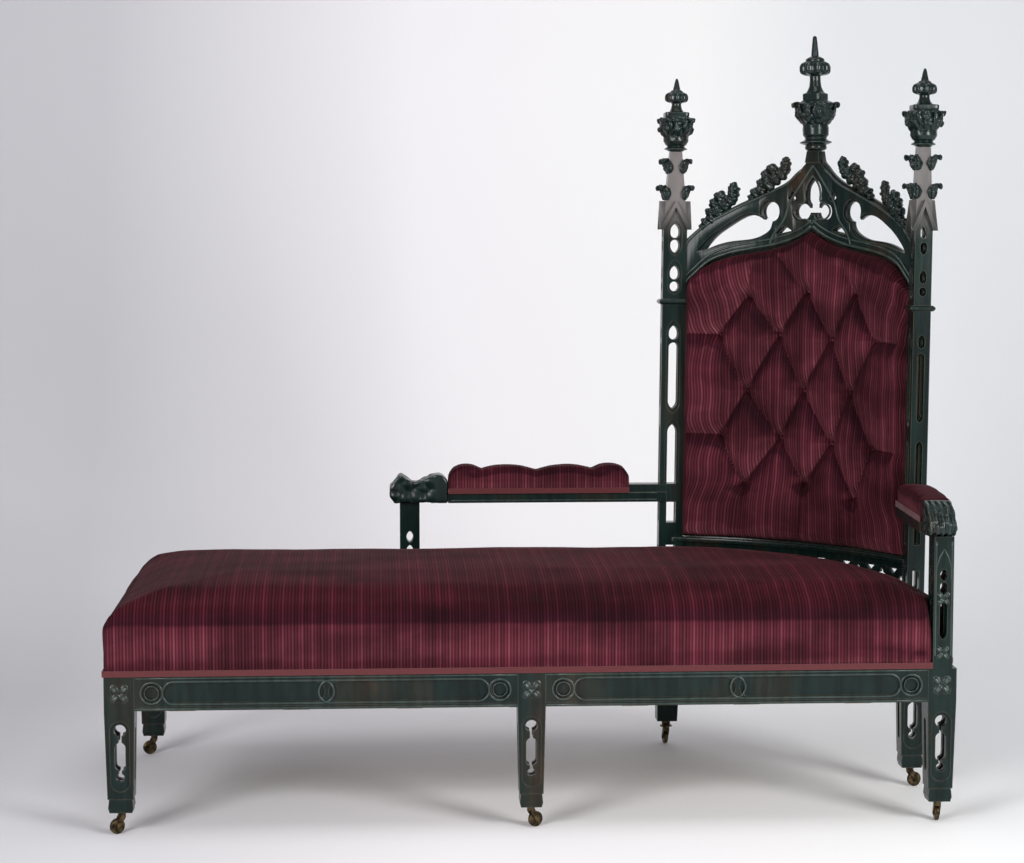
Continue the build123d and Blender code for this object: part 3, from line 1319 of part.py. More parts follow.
def export(nodes):
    """Centre the couch on the floor and write one file for each node."""
    pieces = {name: solids_of(piece) for name, piece in nodes.items()}
    boxes = [solid.bounding_box() for solids in pieces.values() for solid in solids]
    x = (min(box.min.X for box in boxes) + max(box.max.X for box in boxes)) / 2
    y = (min(box.min.Y for box in boxes) + max(box.max.Y for box in boxes)) / 2
    z = min(box.min.Z for box in boxes)
    for name, solids in pieces.items():
        moved = [Pos(-x, -y, -z) * solid for solid in solids]
        shape = moved[0] if len(moved) == 1 else Compound(children=moved)
        export_step(shape, os.path.join("parts", name + ".step"))


os.makedirs("parts", exist_ok=True)
export(build())
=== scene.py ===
# %% [markdown]
# # A Gothic Revival fainting couch
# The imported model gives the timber, the springs and the casters at their real size. This
# script loads it as a fixed frame and dresses it: worn ebonised wood with carved leaves,
# striped burgundy velvet drawn in by buttons, red braid and tarnished brass. All lengths
# are in metres, but the couch was drawn in millimetres from the front-left leg, so a small
# helper turns those sizes into places in the frame.

import json
import math

import bmesh
import bpy
import numpy as np
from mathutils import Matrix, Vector, noise


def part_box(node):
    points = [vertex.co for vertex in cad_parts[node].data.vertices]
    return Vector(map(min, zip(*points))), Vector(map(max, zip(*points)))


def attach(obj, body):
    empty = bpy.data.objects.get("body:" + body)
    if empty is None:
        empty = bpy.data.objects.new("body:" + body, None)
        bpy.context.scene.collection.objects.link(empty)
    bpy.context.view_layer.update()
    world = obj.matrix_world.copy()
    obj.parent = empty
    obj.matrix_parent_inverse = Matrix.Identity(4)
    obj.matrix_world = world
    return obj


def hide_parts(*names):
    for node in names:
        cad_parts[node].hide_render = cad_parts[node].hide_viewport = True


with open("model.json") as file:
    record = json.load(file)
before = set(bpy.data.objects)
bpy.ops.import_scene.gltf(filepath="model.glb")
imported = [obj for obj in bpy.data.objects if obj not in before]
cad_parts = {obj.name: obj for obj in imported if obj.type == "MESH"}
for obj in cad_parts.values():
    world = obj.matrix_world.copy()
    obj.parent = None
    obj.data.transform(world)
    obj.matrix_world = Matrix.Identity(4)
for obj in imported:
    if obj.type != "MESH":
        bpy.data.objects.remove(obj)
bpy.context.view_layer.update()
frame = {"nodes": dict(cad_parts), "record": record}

# %% [markdown]
# ## Where things are
# The couch is drawn from the front-left leg's axis on the floor. The leg's box in the frame
# gives that point, and everything else is measured from it. The back is a leaning curve
# through the two tall posts, so a place on it is given by u, how far it is along the line
# between the posts, z, how high it is, and off, how far it stands behind the curve.

# %% Places
MM = 0.001
LEG_LOW, LEG_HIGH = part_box("front_left_leg")
START = Vector(((LEG_LOW.x + LEG_HIGH.x) / 2, (LEG_LOW.y + LEG_HIGH.y) / 2, 0))

FRONT_SPAN = 1645.0
RAIL_TOP = 320.0
LEFT_POST = Vector((1181.0, 716.0))
RIGHT_POST = Vector((1655.5, 301.0))
HALF_POST = 27.0
SPIRE_TOP = 1371.0
CHORD_START = Vector((1183.0, 716.0))
CHORD_END = Vector((1661.0, 301.0))
BACK_SAGITTA = 82.4
BACK_RECLINE = math.radians(1.05)


def at(x, y, z):
    """A drawn place in millimetres as a place in the frame."""
    return START + Vector((x, y, z)) * MM


print("drawing starts at", [round(v, 4) for v in START])


# %% The curve of the back
CHORD = CHORD_END - CHORD_START
ALONG = CHORD.normalized()
BEHIND = Vector((-ALONG.y, ALONG.x))
BACK_RADIUS = (CHORD.length ** 2 / 4 + BACK_SAGITTA ** 2) / (2 * BACK_SAGITTA)
CHORD_MIDDLE = (CHORD_START + CHORD_END) / 2
BACK_CENTRE = CHORD_MIDDLE - BEHIND * (BACK_RADIUS - BACK_SAGITTA)


def leaned(x, y, z):
    """Drawn places, as arrays, leaned back about rail height and moved into the frame."""
    out = (x - CHORD_MIDDLE.x) * BEHIND.x + (y - CHORD_MIDDLE.y) * BEHIND.y
    up = z - RAIL_TOP
    gain = out * (math.cos(BACK_RECLINE) - 1) + up * math.sin(BACK_RECLINE)
    height = RAIL_TOP + up * math.cos(BACK_RECLINE) - out * math.sin(BACK_RECLINE)
    places = np.stack([x + BEHIND.x * gain, y + BEHIND.y * gain, height], axis=-1)
    return places * MM + np.array(START)


def on_back(u, z, off):
    """Places at u, z and off on the back, stopped at the inner faces of the two posts."""
    u, z, off = np.broadcast_arrays(np.asarray(u, float), z, off)
    out = np.sqrt(np.maximum((BACK_RADIUS + off) ** 2 - u ** 2, 0))
    x = BACK_CENTRE.x + ALONG.x * u + BEHIND.x * out
    y = BACK_CENTRE.y + ALONG.y * u + BEHIND.y * out
    x = np.maximum(x, LEFT_POST.x + HALF_POST + 0.6)
    y = np.maximum(y, RIGHT_POST.y + HALF_POST + 0.6)
    return leaned(x, y, z)


print("back radius", round(BACK_RADIUS, 1), "mm")

# %% [markdown]
# ## The camera and the light
# The photograph was taken from a little above the seat, slightly left of the couch's
# middle, with a long lens. Two big soft lamps at the sides and a weaker one overhead give
# the same broad highlights on the polished wood.

# %% Camera
PHOTO_WIDTH = 1024
FOCAL_PIXELS = 2418.1
CAMERA_PLACE = (506.3, -4772.7, 1229.3)
CAMERA_YAW = math.radians(3.271)
CAMERA_PITCH = math.radians(5.129)

camera_data = bpy.data.cameras.new("camera")
camera_data.sensor_width = 36.0
camera_data.lens = FOCAL_PIXELS * camera_data.sensor_width / PHOTO_WIDTH
camera = bpy.data.objects.new("camera", camera_data)
bpy.context.scene.collection.objects.link(camera)
camera.location = at(*CAMERA_PLACE)
camera.rotation_euler = (math.pi / 2 - CAMERA_PITCH, 0, -CAMERA_YAW)
bpy.context.scene.camera = camera
print("lens", round(camera_data.lens, 1), "mm")


# %% Lamps
def soft_lamp(name, place, target, size, power):
    """A square area lamp that faces the target."""
    lamp = bpy.data.lights.new(name, "AREA")
    lamp.shape = "SQUARE"
    lamp.size = size
    lamp.energy = power
    holder = bpy.data.objects.new(name, lamp)
    bpy.context.scene.collection.objects.link(holder)
    holder.location = place
    holder.rotation_euler = (Vector(target) - Vector(place)).to_track_quat("-Z", "Y").to_euler()


soft_lamp("left_lamp", (-2.5, -3.5, 2.0), (0, 0, 0.6), 1.4, 99)
soft_lamp("right_lamp", (2.7, -3.3, 1.9), (0.2, 0, 0.6), 1.4, 112)
soft_lamp("top_lamp", (0, -0.6, 3.6), (0, 0.2, 0.5), 1.8, 30)



def studio_world():
    """Soft grey light all round, which the camera sees as pale paper."""
    world = bpy.data.worlds.new("studio")
    bpy.context.scene.world = world
    world.use_nodes = True
    nodes, links = world.node_tree.nodes, world.node_tree.links
    light = nodes["Background"]
    light.inputs["Color"].default_value = (0.95, 0.93, 0.95, 1)
    light.inputs["Strength"].default_value = 0.31
    paper = nodes.new("ShaderNodeBackground")
    paper.inputs["Color"].default_value = (0.84, 0.83, 0.86, 1)
    path = nodes.new("ShaderNodeLightPath")
    seen = nodes.new("ShaderNodeMixShader")
    links.new(path.outputs["Is Camera Ray"], seen.inputs[0])
    links.new(light.outputs[0], seen.inputs[1])
    links.new(paper.outputs[0], seen.inputs[2])
    links.new(seen.outputs[0], nodes["World Output"].inputs["Surface"])


studio_world()
bpy.context.scene.view_settings.view_transform = "Standard"
print("three soft lamps")

# %% [markdown]
# ## Building materials from nodes
# Every finish here is procedural: noise, ramps and bump instead of pictures, so it works
# on any mesh without unwrapping. Three short helpers keep the node code readable. One adds
# a node and sets its inputs, one joins two sockets, and one starts a material.


# %% Material helpers
class Finish:
    """A material under construction."""

    def __init__(self, name):
        self.material = bpy.data.materials.new(name)
        self.material.use_nodes = True
        self.nodes = self.material.node_tree.nodes
        self.shader = self.nodes["Principled BSDF"]

    def add(self, kind, **settings):
        """A new node; settings name its properties or its inputs."""
        node = self.nodes.new("ShaderNode" + kind)
        for key, value in settings.items():
            if hasattr(node, key):
                setattr(node, key, value)
            else:
                node.inputs[key.replace("_", " ")].default_value = value
        return node

    def join(self, source, output, target, socket):
        self.material.node_tree.links.new(source.outputs[output], target.inputs[socket])

    def ramp(self, source, output, stops, smooth=True):
        """A colour ramp with (position, colour) stops."""
        node = self.add("ValToRGB")
        node.color_ramp.interpolation = "EASE" if smooth else "LINEAR"
        elements = node.color_ramp.elements
        while len(elements) < len(stops):
            elements.new(0.5)
        for element, (position, colour) in zip(elements, stops):
            element.position = position
            element.color = (*colour, 1) if len(colour) == 3 else colour
        self.join(source, output, node, "Fac")
        return node

    def mixed(self, kind, factor, first, second):
        """A colour mix of two nodes' colours; factor is a number or a (node, output) pair."""
        node = self.add("Mix", data_type="RGBA", blend_type=kind)
        if isinstance(factor, tuple):
            self.join(*factor, node, 0)
        else:
            node.inputs[0].default_value = factor
        for socket, source in ((6, first), (7, second)):
            if isinstance(source, tuple) and len(source) == 3:
                node.inputs[socket].default_value = (*source, 1)
            else:
                self.join(source, source_output(source), node, socket)
        return node

    def math(self, operation, first, second=None):
        """Arithmetic on (node, output) pairs or numbers."""
        node = self.add("Math", operation=operation)
        for socket, source in enumerate((first, second)):
            if isinstance(source, tuple):
                self.join(*source, node, socket)
            elif source is not None:
                node.inputs[socket].default_value = source
        return node

    def bumped(self, source, output, distance, strength=1.0):
        """Feed a height into the shader's normal."""
        bump = self.add("Bump", Distance=distance, Strength=strength)
        self.join(source, output, bump, "Height")
        self.join(bump, "Normal", self.shader, "Normal")
        return bump


def source_output(node):
    """The colour output of a node: a Mix node keeps it third."""
    return 2 if node.bl_idname == "ShaderNodeMix" else "Color"


def noise_field(finish, scale, detail=4.0, stretch=(1, 1, 1)):
    """Noise in object space, stretched along the axes."""
    place = finish.add("TexCoord")
    mapping = finish.add("Mapping")
    mapping.inputs["Scale"].default_value = stretch
    field = finish.add("TexNoise", Scale=scale, Detail=detail)
    finish.join(place, "Object", mapping, "Vector")
    finish.join(mapping, "Vector", field, "Vector")
    return field


print("material helpers ready")

# %% [markdown]
# ## Worn ebonised wood
# The frame is carved wood under a dark green-black stain. Brown wood shows through on the
# flats, and a century of hands and dusters has left the edges pale. The Bevel node gives a
# rounded normal near an edge, so where it differs from the true normal there is an edge:
# that makes the wear mask on flat woodwork. Carved leaves are dense meshes, so there
# Pointiness finds the raised places, and paints them a pale green that is partly wear and
# partly a painted highlight. The tall spires have lost more stain than the rest, and on the
# two posts height is a second mask.

# %% Ebonised wood
FADE_START, FADE_END = 1.17, 1.27
# Raised carving gets a pale green that is partly wear and partly a painted highlight; flat edges get
# brown wear.
GREEN_WEAR_AND_HIGHLIGHT, BROWN_WEAR, BARE_WOOD = (0.090, 0.122, 0.108), (0.080, 0.074, 0.056), (0.215, 0.195, 0.190)


def ebonised_wood(name, kind):
    """Dark stain, brown where it thins; kind is flat, carved or spire and sets its wear, which on carved
    wood is partly a painted highlight.
    """
    wood = Finish(name)
    patches = noise_field(wood, 9.0, 6.0, (1, 1, 0.35))
    grain = noise_field(wood, 70.0, 3.0, (1, 1, 0.12))
    stain = wood.ramp(patches, "Fac", [(0.30, (0.002, 0.008, 0.007)), (0.50, (0.005, 0.015, 0.013)),
                                       (0.60, (0.013, 0.016, 0.012)), (0.74, (0.036, 0.022, 0.013))])
    streaks = wood.ramp(grain, "Fac", [(0.35, (0.6, 0.6, 0.6)), (0.65, (1.3, 1.3, 1.3))])
    body = wood.mixed("MULTIPLY", 0.7, stain, streaks)
    surface = wood.add("NewGeometry")
    # On carving, raised places are painted pale green: partly wear, partly a painted highlight.
    if kind == "carved":
        raised = wood.math("SUBTRACT", (surface, "Pointiness"), 0.515)
        wear_and_highlight = wood.math("MULTIPLY", (raised, 0), 11.0)
    else:
        edge = wood.add("Bevel", samples=6, Radius=0.0035)
        facing = wood.add("VectorMath", operation="DOT_PRODUCT")
        wood.join(edge, "Normal", facing, 0)
        wood.join(surface, "Normal", facing, 1)
        turned = wood.math("SUBTRACT", 1.0, (facing, "Value"))
        wear_and_highlight = wood.math("MULTIPLY", (turned, 0), 6.5)
    mask = wood.math("MULTIPLY", (wear_and_highlight, 0), (grain, "Fac"))
    mask.use_clamp = True
    colour = wood.mixed("MIX", (mask, 0), body, GREEN_WEAR_AND_HIGHLIGHT if kind == "carved" else BROWN_WEAR)
    if kind == "spire":
        split = wood.add("SeparateXYZ")
        wood.join(surface, "Position", split, "Vector")
        high = wood.add("MapRange", interpolation_type="SMOOTHSTEP")
        for socket, value in ((1, FADE_START), (2, FADE_END), (3, 0.0), (4, 1.5)):
            high.inputs[socket].default_value = value
        wood.join(split, "Z", high, 0)
        faded = wood.math("MULTIPLY", (high, 0), (patches, "Fac"))
        faded.use_clamp = True
        colour = wood.mixed("MIX", (faded, 0), colour, BARE_WOOD)
    wood.join(colour, 2, wood.shader, "Base Color")
    wood.shader.inputs["Roughness"].default_value = 0.26
    wood.shader.inputs["Specular IOR Level"].default_value = 0.40 if kind == "carved" else 0.22
    wood.bumped(grain, "Fac", 0.0008, 0.6)
    return wood.material


print("stain fades from", FADE_START, "to", FADE_END, "m")

# %% [markdown]
# ## Striped velvet
# The velvet is woven in narrow stripes: a pale one about every 19 mm with fine ribs between.
# The stripes have to follow the cloth, so each velvet piece carries a number at every
# vertex, cloth_across, which says how far across the cloth that vertex is. The shader turns
# it into stripes with a ramp. A ramp on the normal's height paints light and shade into the
# colour: painted shade where the velvet faces up, painted light where it faces down. A sheen
# lights its edges.

# %% Velvet
STRIPE_PITCH = 0.0195


def striped_velvet():
    """Burgundy velvet with woven stripes, a brushed nap and painted light and shade by facing."""
    velvet = Finish("striped_velvet")
    weave = velvet.add("Attribute", attribute_name="cloth_across")
    repeats = velvet.math("DIVIDE", (weave, "Fac"), STRIPE_PITCH)
    place = velvet.math("FRACT", (repeats, 0))
    dark, mid, pale = (0.56, 0.50, 0.50), (1.12, 1.14, 1.12), (1.52, 1.95, 1.72)
    stripes = velvet.ramp(place, 0, [(0.0, dark), (0.10, mid), (0.18, mid), (0.26, dark), (0.34, dark),
                                     (0.43, pale), (0.53, pale), (0.60, dark), (0.69, dark),
                                     (0.77, mid), (0.84, mid), (0.92, dark), (1.0, dark)])
    thread = velvet.add("TexNoise", noise_dimensions="1D", Scale=1.0, Detail=1.0)
    velvet.join(repeats, 0, thread, "W")
    fading = velvet.ramp(thread, "Fac", [(0.30, (0.55, 0.55, 0.55)), (0.70, (1.45, 1.45, 1.45))])
    surface = velvet.add("NewGeometry")
    split = velvet.add("SeparateXYZ")
    velvet.join(surface, "Normal", split, "Vector")
    tilt = velvet.add("MapRange")
    for socket, value in ((1, -1.0), (2, 1.0), (3, 0.0), (4, 1.0)):
        tilt.inputs[socket].default_value = value
    velvet.join(split, "Z", tilt, 0)
    # Painted light and shade: lighter where the surface faces down, darkest where it slopes up.
    painted_light_by_facing = velvet.ramp(tilt, 0, [(0.10, (0.150, 0.042, 0.054)), (0.42, (0.094, 0.020, 0.030)),
                                 (0.54, (0.062, 0.011, 0.018)), (0.64, (0.026, 0.0035, 0.008)),
                                 (0.82, (0.030, 0.0035, 0.007)), (1.0, (0.040, 0.005, 0.009))])
    brushed = noise_field(velvet, 7.0, 5.0, (1, 1, 1.6))
    strokes = velvet.ramp(brushed, "Fac", [(0.32, (0.55, 0.52, 0.54)), (0.68, (1.45, 1.42, 1.45))])
    striped = velvet.mixed("MULTIPLY", 0.9, painted_light_by_facing, stripes)
    uneven = velvet.mixed("MULTIPLY", 0.5, striped, fading)
    colour = velvet.mixed("MULTIPLY", 0.8, uneven, strokes)
    velvet.join(colour, 2, velvet.shader, "Base Color")
    velvet.shader.inputs["Roughness"].default_value = 0.85
    velvet.shader.inputs["Specular IOR Level"].default_value = 0.09
    velvet.shader.inputs["Sheen Weight"].default_value = 0.05
    velvet.shader.inputs["Sheen Roughness"].default_value = 0.35
    velvet.shader.inputs["Sheen Tint"].default_value = (0.80, 0.36, 0.38, 1)
    velvet.bumped(stripes, "Color", 0.0008, 0.7)
    return velvet.material


print("stripe pitch", STRIPE_PITCH * 1000, "mm")

# %% [markdown]
# ## The other finishes
# The casters' brass has gone brown, with brighter rubbed places. The braid is a cord-like
# weave, so it gets fine cross ribs. Webbing, hessian and lining are plain weaves: two
# crossed waves, one for the warp and one for the weft. The springs are copper-coated steel.

# %% Metal
def tarnished(name, dull, bright, roughness):
    """Metal with dull patches and rubbed bright ones."""
    metal = Finish(name)
    patches = noise_field(metal, 90.0, 6.0)
    colour = metal.ramp(patches, "Fac", [(0.38, dull), (0.66, bright)])
    metal.join(colour, "Color", metal.shader, "Base Color")
    metal.shader.inputs["Metallic"].default_value = 0.9
    metal.shader.inputs["Roughness"].default_value = roughness
    metal.bumped(patches, "Fac", 0.0004, 0.4)
    return metal.material


print("metal recipe ready")


# %% Cloth and plain wood
def woven(name, colour, thread, depth=0.5):
    """A plain weave from two crossed sets of threads."""
    cloth = Finish(name)
    place = cloth.add("TexCoord")
    threads = []
    for direction in ("X", "Y"):
        wave = cloth.add("TexWave", bands_direction=direction, Scale=thread, Distortion=0.6)
        wave.inputs["Detail"].default_value = 2.0
        cloth.join(place, "Object", wave, "Vector")
        threads.append(wave)
    height = cloth.math("MULTIPLY", (threads[0], "Fac"), (threads[1], "Fac"))
    dark = tuple(channel * 0.45 for channel in colour)
    shade = cloth.ramp(height, 0, [(0.1, dark), (0.6, colour)])
    fibres = noise_field(cloth, 30.0, 5.0)
    tone = cloth.ramp(fibres, "Fac", [(0.3, (0.75, 0.75, 0.75)), (0.7, (1.15, 1.15, 1.15))])
    mixed = cloth.mixed("MULTIPLY", 0.8, shade, tone)
    cloth.join(mixed, 2, cloth.shader, "Base Color")
    cloth.shader.inputs["Roughness"].default_value = 0.9
    cloth.bumped(height, 0, 0.0008, depth)
    return cloth.material


def plain_wood():
    """Unstained beech for the hidden blocks and boards."""
    wood = Finish("plain_wood")
    grain = noise_field(wood, 24.0, 8.0, (1, 1, 0.15))
    colour = wood.ramp(grain, "Fac", [(0.3, (0.26, 0.15, 0.075)), (0.7, (0.44, 0.29, 0.16))])
    wood.join(colour, "Color", wood.shader, "Base Color")
    wood.shader.inputs["Roughness"].default_value = 0.6
    wood.bumped(grain, "Fac", 0.0005, 0.4)
    return wood.material


print("cloth and plain wood recipes ready")


# %% Braid
def braid():
    """Red woven braid with fine slanting ribs."""
    cord = Finish("red_braid")
    place = cord.add("TexCoord")
    ribs = cord.add("TexWave", bands_direction="DIAGONAL", Scale=260.0, Distortion=1.0)
    cord.join(place, "Object", ribs, "Vector")
    shade = cord.ramp(ribs, "Fac", [(0.15, (0.050, 0.005, 0.007)), (0.75, (0.165, 0.020, 0.024))])
    cord.join(shade, "Color", cord.shader, "Base Color")
    cord.shader.inputs["Roughness"].default_value = 0.75
    cord.shader.inputs["Sheen Weight"].default_value = 0.15
    cord.bumped(ribs, "Fac", 0.0010, 0.8)
    return cord.material


print("braid recipe ready")


# %% Give every frame node its finish
finishes = {
    "ebonised_wood": ebonised_wood("ebonised_wood", "flat"),
    "plain_wood": plain_wood(),
    "velvet": striped_velvet(),
    "braid": braid(),
    "webbing": woven("jute_webbing", (0.40, 0.29, 0.16), 110.0),
    "canvas": woven("hessian", (0.42, 0.33, 0.21), 160.0),
    "lining": woven("lining_cloth", (0.070, 0.014, 0.020), 240.0, 0.3),
    "spring_wire": tarnished("coppered_steel", (0.20, 0.11, 0.07), (0.46, 0.29, 0.20), 0.38),
    "brass": tarnished("old_brass", (0.020, 0.015, 0.010), (0.150, 0.105, 0.050), 0.36),
}
slots = {part["node"]: part["material_slot"] for part in frame["record"]["subparts"]}
for node_name, slot_name in slots.items():
    mesh = frame["nodes"][node_name].data
    mesh.materials.clear()
    mesh.materials.append(finishes[slot_name])
carved_wood = ebonised_wood("carved_ebonised_wood", "carved")
spire_wood = ebonised_wood("faded_spire_wood", "spire")
for node_name in ("left_back_post", "right_back_post"):
    frame["nodes"][node_name].data.materials[0] = spire_wood
print(len(slots), "nodes in", len(finishes), "finishes")

# %% [markdown]
# ## Softened edges
# Real woodwork has no knife-sharp edges, and a soft edge is what catches the light. The
# frame's own vertices have to stay where they are, so the softening is done by modifiers:
# one welds the split edges of the imported mesh, and one bevels every corner sharper than
# 35 degrees by about a millimetre.

# %% Soften the woodwork
BEVEL_WIDTHS = {"ebonised_wood": 1.2 * MM, "plain_wood": 1.0 * MM, "brass": 0.4 * MM}


def soften(piece, width):
    """Weld and bevel a hard-edged mesh without touching its own vertices."""
    weld = piece.modifiers.new("weld", "WELD")
    weld.merge_threshold = 0.02 * MM
    bevel = piece.modifiers.new("soft_edges", "BEVEL")
    bevel.width = width
    bevel.segments = 2
    bevel.limit_method = "ANGLE"
    bevel.angle_limit = math.radians(35)
    bevel.use_clamp_overlap = True
    bevel.harden_normals = False


for node_name, slot_name in slots.items():
    if slot_name in BEVEL_WIDTHS:
        soften(frame["nodes"][node_name], BEVEL_WIDTHS[slot_name])
print("edges softened")

# %% [markdown]
# ## How padded pieces are made
# Each padded piece starts from a closed skin. The plain solid's mesh is copied and voxel
# remeshed, which gives small even faces, and then Blender's Cloth blows it up a little
# with air pressure, with gravity off, while some vertices are held. How far a vertex may
# move is capped, so the piece stays in its own space. The result is written into the mesh,
# so no simulation is left on it. The same helpers serve the seat, the back and both pads.


# %% Making and reading meshes
def new_piece(name, verts, faces):
    """A smooth mesh object from places in the frame."""
    mesh = bpy.data.meshes.new(name)
    mesh.from_pydata([tuple(v) for v in verts], [], faces)
    mesh.update()
    mesh.polygons.foreach_set("use_smooth", [True] * len(mesh.polygons))
    piece = bpy.data.objects.new(name, mesh)
    bpy.context.scene.collection.objects.link(piece)
    return piece


def corners_of(piece):
    """A piece's vertices as an array."""
    places = np.empty(len(piece.data.vertices) * 3)
    piece.data.vertices.foreach_get("co", places)
    return places.reshape(-1, 3)


def move_corners(piece, places):
    """Put a piece's vertices at new places."""
    piece.data.vertices.foreach_set("co", np.ascontiguousarray(places).ravel())
    piece.data.update()


def corner_normals(piece):
    """The direction in which the surface faces at every vertex."""
    normals = np.empty(len(piece.data.vertices) * 3)
    piece.data.vertices.foreach_get("normal", normals)
    return normals.reshape(-1, 3)


print("mesh helpers ready")


# %% Faces between rings and on sheets
def tube_faces(rings, around, first=0, closed=False):
    """Faces between stacked rings of vertices; closed joins the last ring to the first."""
    faces = []
    for ring in range(rings if closed else rings - 1):
        here = first + ring * around
        above = first + (ring + 1) % rings * around
        for side in range(around):
            after = (side + 1) % around
            faces.append((here + side, here + after, above + after, above + side))
    return faces


def sheet_faces(rows, columns):
    """Faces of a thin sheet made of two grids of vertices, one after the other."""
    count = rows * columns
    faces = []
    for row in range(rows - 1):
        for column in range(columns - 1):
            a = row * columns + column
            loop = (a, a + 1, a + 1 + columns, a + columns)
            faces += [loop, tuple(i + count for i in reversed(loop))]
    rim = [(0, c) for c in range(columns)] + [(r, columns - 1) for r in range(1, rows)]
    rim += [(rows - 1, c) for c in range(columns - 2, -1, -1)]
    rim += [(r, 0) for r in range(rows - 2, 0, -1)]
    ring = [r * columns + c for r, c in rim]
    for a, b in zip(ring, ring[1:] + ring[:1]):
        faces.append((b, a, a + count, b + count))
    return faces


def turned(faces):
    """The same faces, looking the other way."""
    return [tuple(reversed(face)) for face in faces]


print("a tube of 3 rings of 8 has", len(tube_faces(3, 8)), "faces")


# %% Skins from plain solids
def baked(piece):
    """Replace a piece's mesh with what its modifiers make of it."""
    graph = bpy.context.evaluated_depsgraph_get()
    mesh = bpy.data.meshes.new_from_object(piece.evaluated_get(graph))
    piece.modifiers.clear()
    piece.data = mesh
    mesh.polygons.foreach_set("use_smooth", [True] * len(mesh.polygons))


def skin_of(node, name, voxel, rounds):
    """A closed skin of even faces round a plain solid, smoothed that many rounds."""
    piece = bpy.data.objects.new(name, frame["nodes"][node].data.copy())
    bpy.context.scene.collection.objects.link(piece)
    remesh = piece.modifiers.new("remesh", "REMESH")
    remesh.mode = "VOXEL"
    remesh.voxel_size = voxel
    rounding = piece.modifiers.new("rounding", "SMOOTH")
    rounding.iterations = rounds
    baked(piece)
    return piece


print("skin helpers ready")

# %% Air pressure
CLOTH_SETTINGS = {"quality": 4, "mass": 0.4, "tension_stiffness": 12, "compression_stiffness": 12,
                  "shear_stiffness": 6, "bending_stiffness": 0.4, "use_pressure": True}
CLOTH_STEPS = 20


def plump(piece, held, pressure, cap):
    """Blow a skin up with air pressure; held is how firmly each vertex is kept, 0 to 1."""
    group = piece.vertex_groups.new(name="held")
    for level in (0.25, 0.5, 0.75, 1.0):
        chosen = np.flatnonzero((held > level - 0.25) & (held <= level))
        if len(chosen):
            group.add([int(i) for i in chosen], level, "REPLACE")
    cloth = piece.modifiers.new("air", "CLOTH")
    for setting, value in CLOTH_SETTINGS.items():
        setattr(cloth.settings, setting, value)
    cloth.settings.uniform_pressure_force = pressure
    cloth.settings.vertex_group_mass = "held"
    cloth.settings.effector_weights.gravity = 0
    before = corners_of(piece)
    for step in range(1, CLOTH_STEPS + 1):
        bpy.context.scene.frame_set(step)
    graph = bpy.context.evaluated_depsgraph_get()
    blown = piece.evaluated_get(graph)
    after = np.empty(len(blown.data.vertices) * 3)
    blown.data.vertices.foreach_get("co", after)
    move = after.reshape(-1, 3) - before
    length = np.linalg.norm(move, axis=1, keepdims=True)
    move *= np.minimum(1, cap / np.maximum(length, 1e-9))
    piece.modifiers.clear()
    piece.vertex_groups.clear()
    move_corners(piece, before + move)
    bpy.context.scene.frame_set(1)
    furthest = float(np.linalg.norm(move, axis=1).max())
    print(piece.name, "swelled by up to", round(1000 * furthest, 1), "mm")


print("cloth runs for", CLOTH_STEPS, "steps")


# %% Finishing a piece
def weave_across(piece, values):
    """Store how far across the cloth each vertex is."""
    attribute = piece.data.attributes.new("cloth_across", "FLOAT", "POINT")
    attribute.data.foreach_set("value", np.asarray(values, dtype=np.float32))


def finer(piece):
    """One level of subdivision, kept as a modifier."""
    smooth = piece.modifiers.new("finer", "SUBSURF")
    smooth.levels = 1
    smooth.render_levels = 1


def dressed(piece, node, slot_name):
    """Let a finished piece stand for a frame node."""
    piece.data.materials.clear()
    piece.data.materials.append(finishes[slot_name])
    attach(piece, "frame")
    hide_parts(node)


print("finishing helpers ready")

# %% [markdown]
# ## The seat
# The seat is boxed at the front: upright velvet up to a rolled edge, then a crowned top
# over the springs. Its skin is held along the rails and inside the spring well, so only the
# outside swells. After that a shallow groove is pressed in along the front roll, where the
# stuffing is stitched. The stripes run from front to back over the roll, so on the front
# and top they count along x, and round the ends along y.

# %% Stuffed seat
ROLL_HEIGHT = 0.436
ROLL_GROOVE = 0.0022
WELL_TOP, WELL_INSET = 0.398, 0.03
TACKED_HEIGHT = 0.012
SEAT_AIR, SEAT_SWELL = 2.2, 0.008
END_BELLY, FRONT_BELLY = 0.009, 0.006


def stuffed_seat():
    """The velvet seat, plumped over its springs."""
    seat = skin_of("seat_upholstery", "velvet_seat", 0.011, 1)
    low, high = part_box("seat_upholstery")
    places = corners_of(seat)
    inside = places[:, 2] < WELL_TOP
    for axis in (0, 1):
        inside &= places[:, axis] > low[axis] + WELL_INSET
        inside &= places[:, axis] < high[axis] - WELL_INSET
    held = np.where(places[:, 2] < low.z + TACKED_HEIGHT, 1.0, 0.0)
    held = np.where(inside, 1.0, held)
    plump(seat, held, SEAT_AIR, SEAT_SWELL)
    places = corners_of(seat)
    belly = np.sin(math.pi * np.clip((places[:, 2] - 0.322) / 0.165, 0, 1)) ** 0.7
    end_share = np.clip((low.x + 0.05 - places[:, 0]) / 0.05, 0, 1)
    front_share = np.clip((low.y + 0.05 - places[:, 1]) / 0.05, 0, 1)
    places[:, 0] -= END_BELLY * belly * end_share
    places[:, 1] -= FRONT_BELLY * belly * front_share
    wave = np.array([noise.noise(Vector(p) * 4.5) + 0.4 * noise.noise(Vector(p) * 13) for p in places])
    normals = corner_normals(seat)
    free = (held < 0.5)[:, None]
    places += normals * (0.0028 * wave)[:, None] * free
    front = np.exp(-((places[:, 2] - ROLL_HEIGHT) / 0.006) ** 2) * (places[:, 1] < low.y + 0.03)
    places[:, 1] += ROLL_GROOVE * front
    move_corners(seat, places)
    end_on = np.abs(normals[:, 0]) > 0.72
    weave_across(seat, np.where(end_on, places[:, 1] + 0.004, places[:, 0]))
    finer(seat)
    dressed(seat, "seat_upholstery", "velvet")
    return seat


velvet_seat = stuffed_seat()
print("seat skin", len(velvet_seat.data.vertices), "vertices")

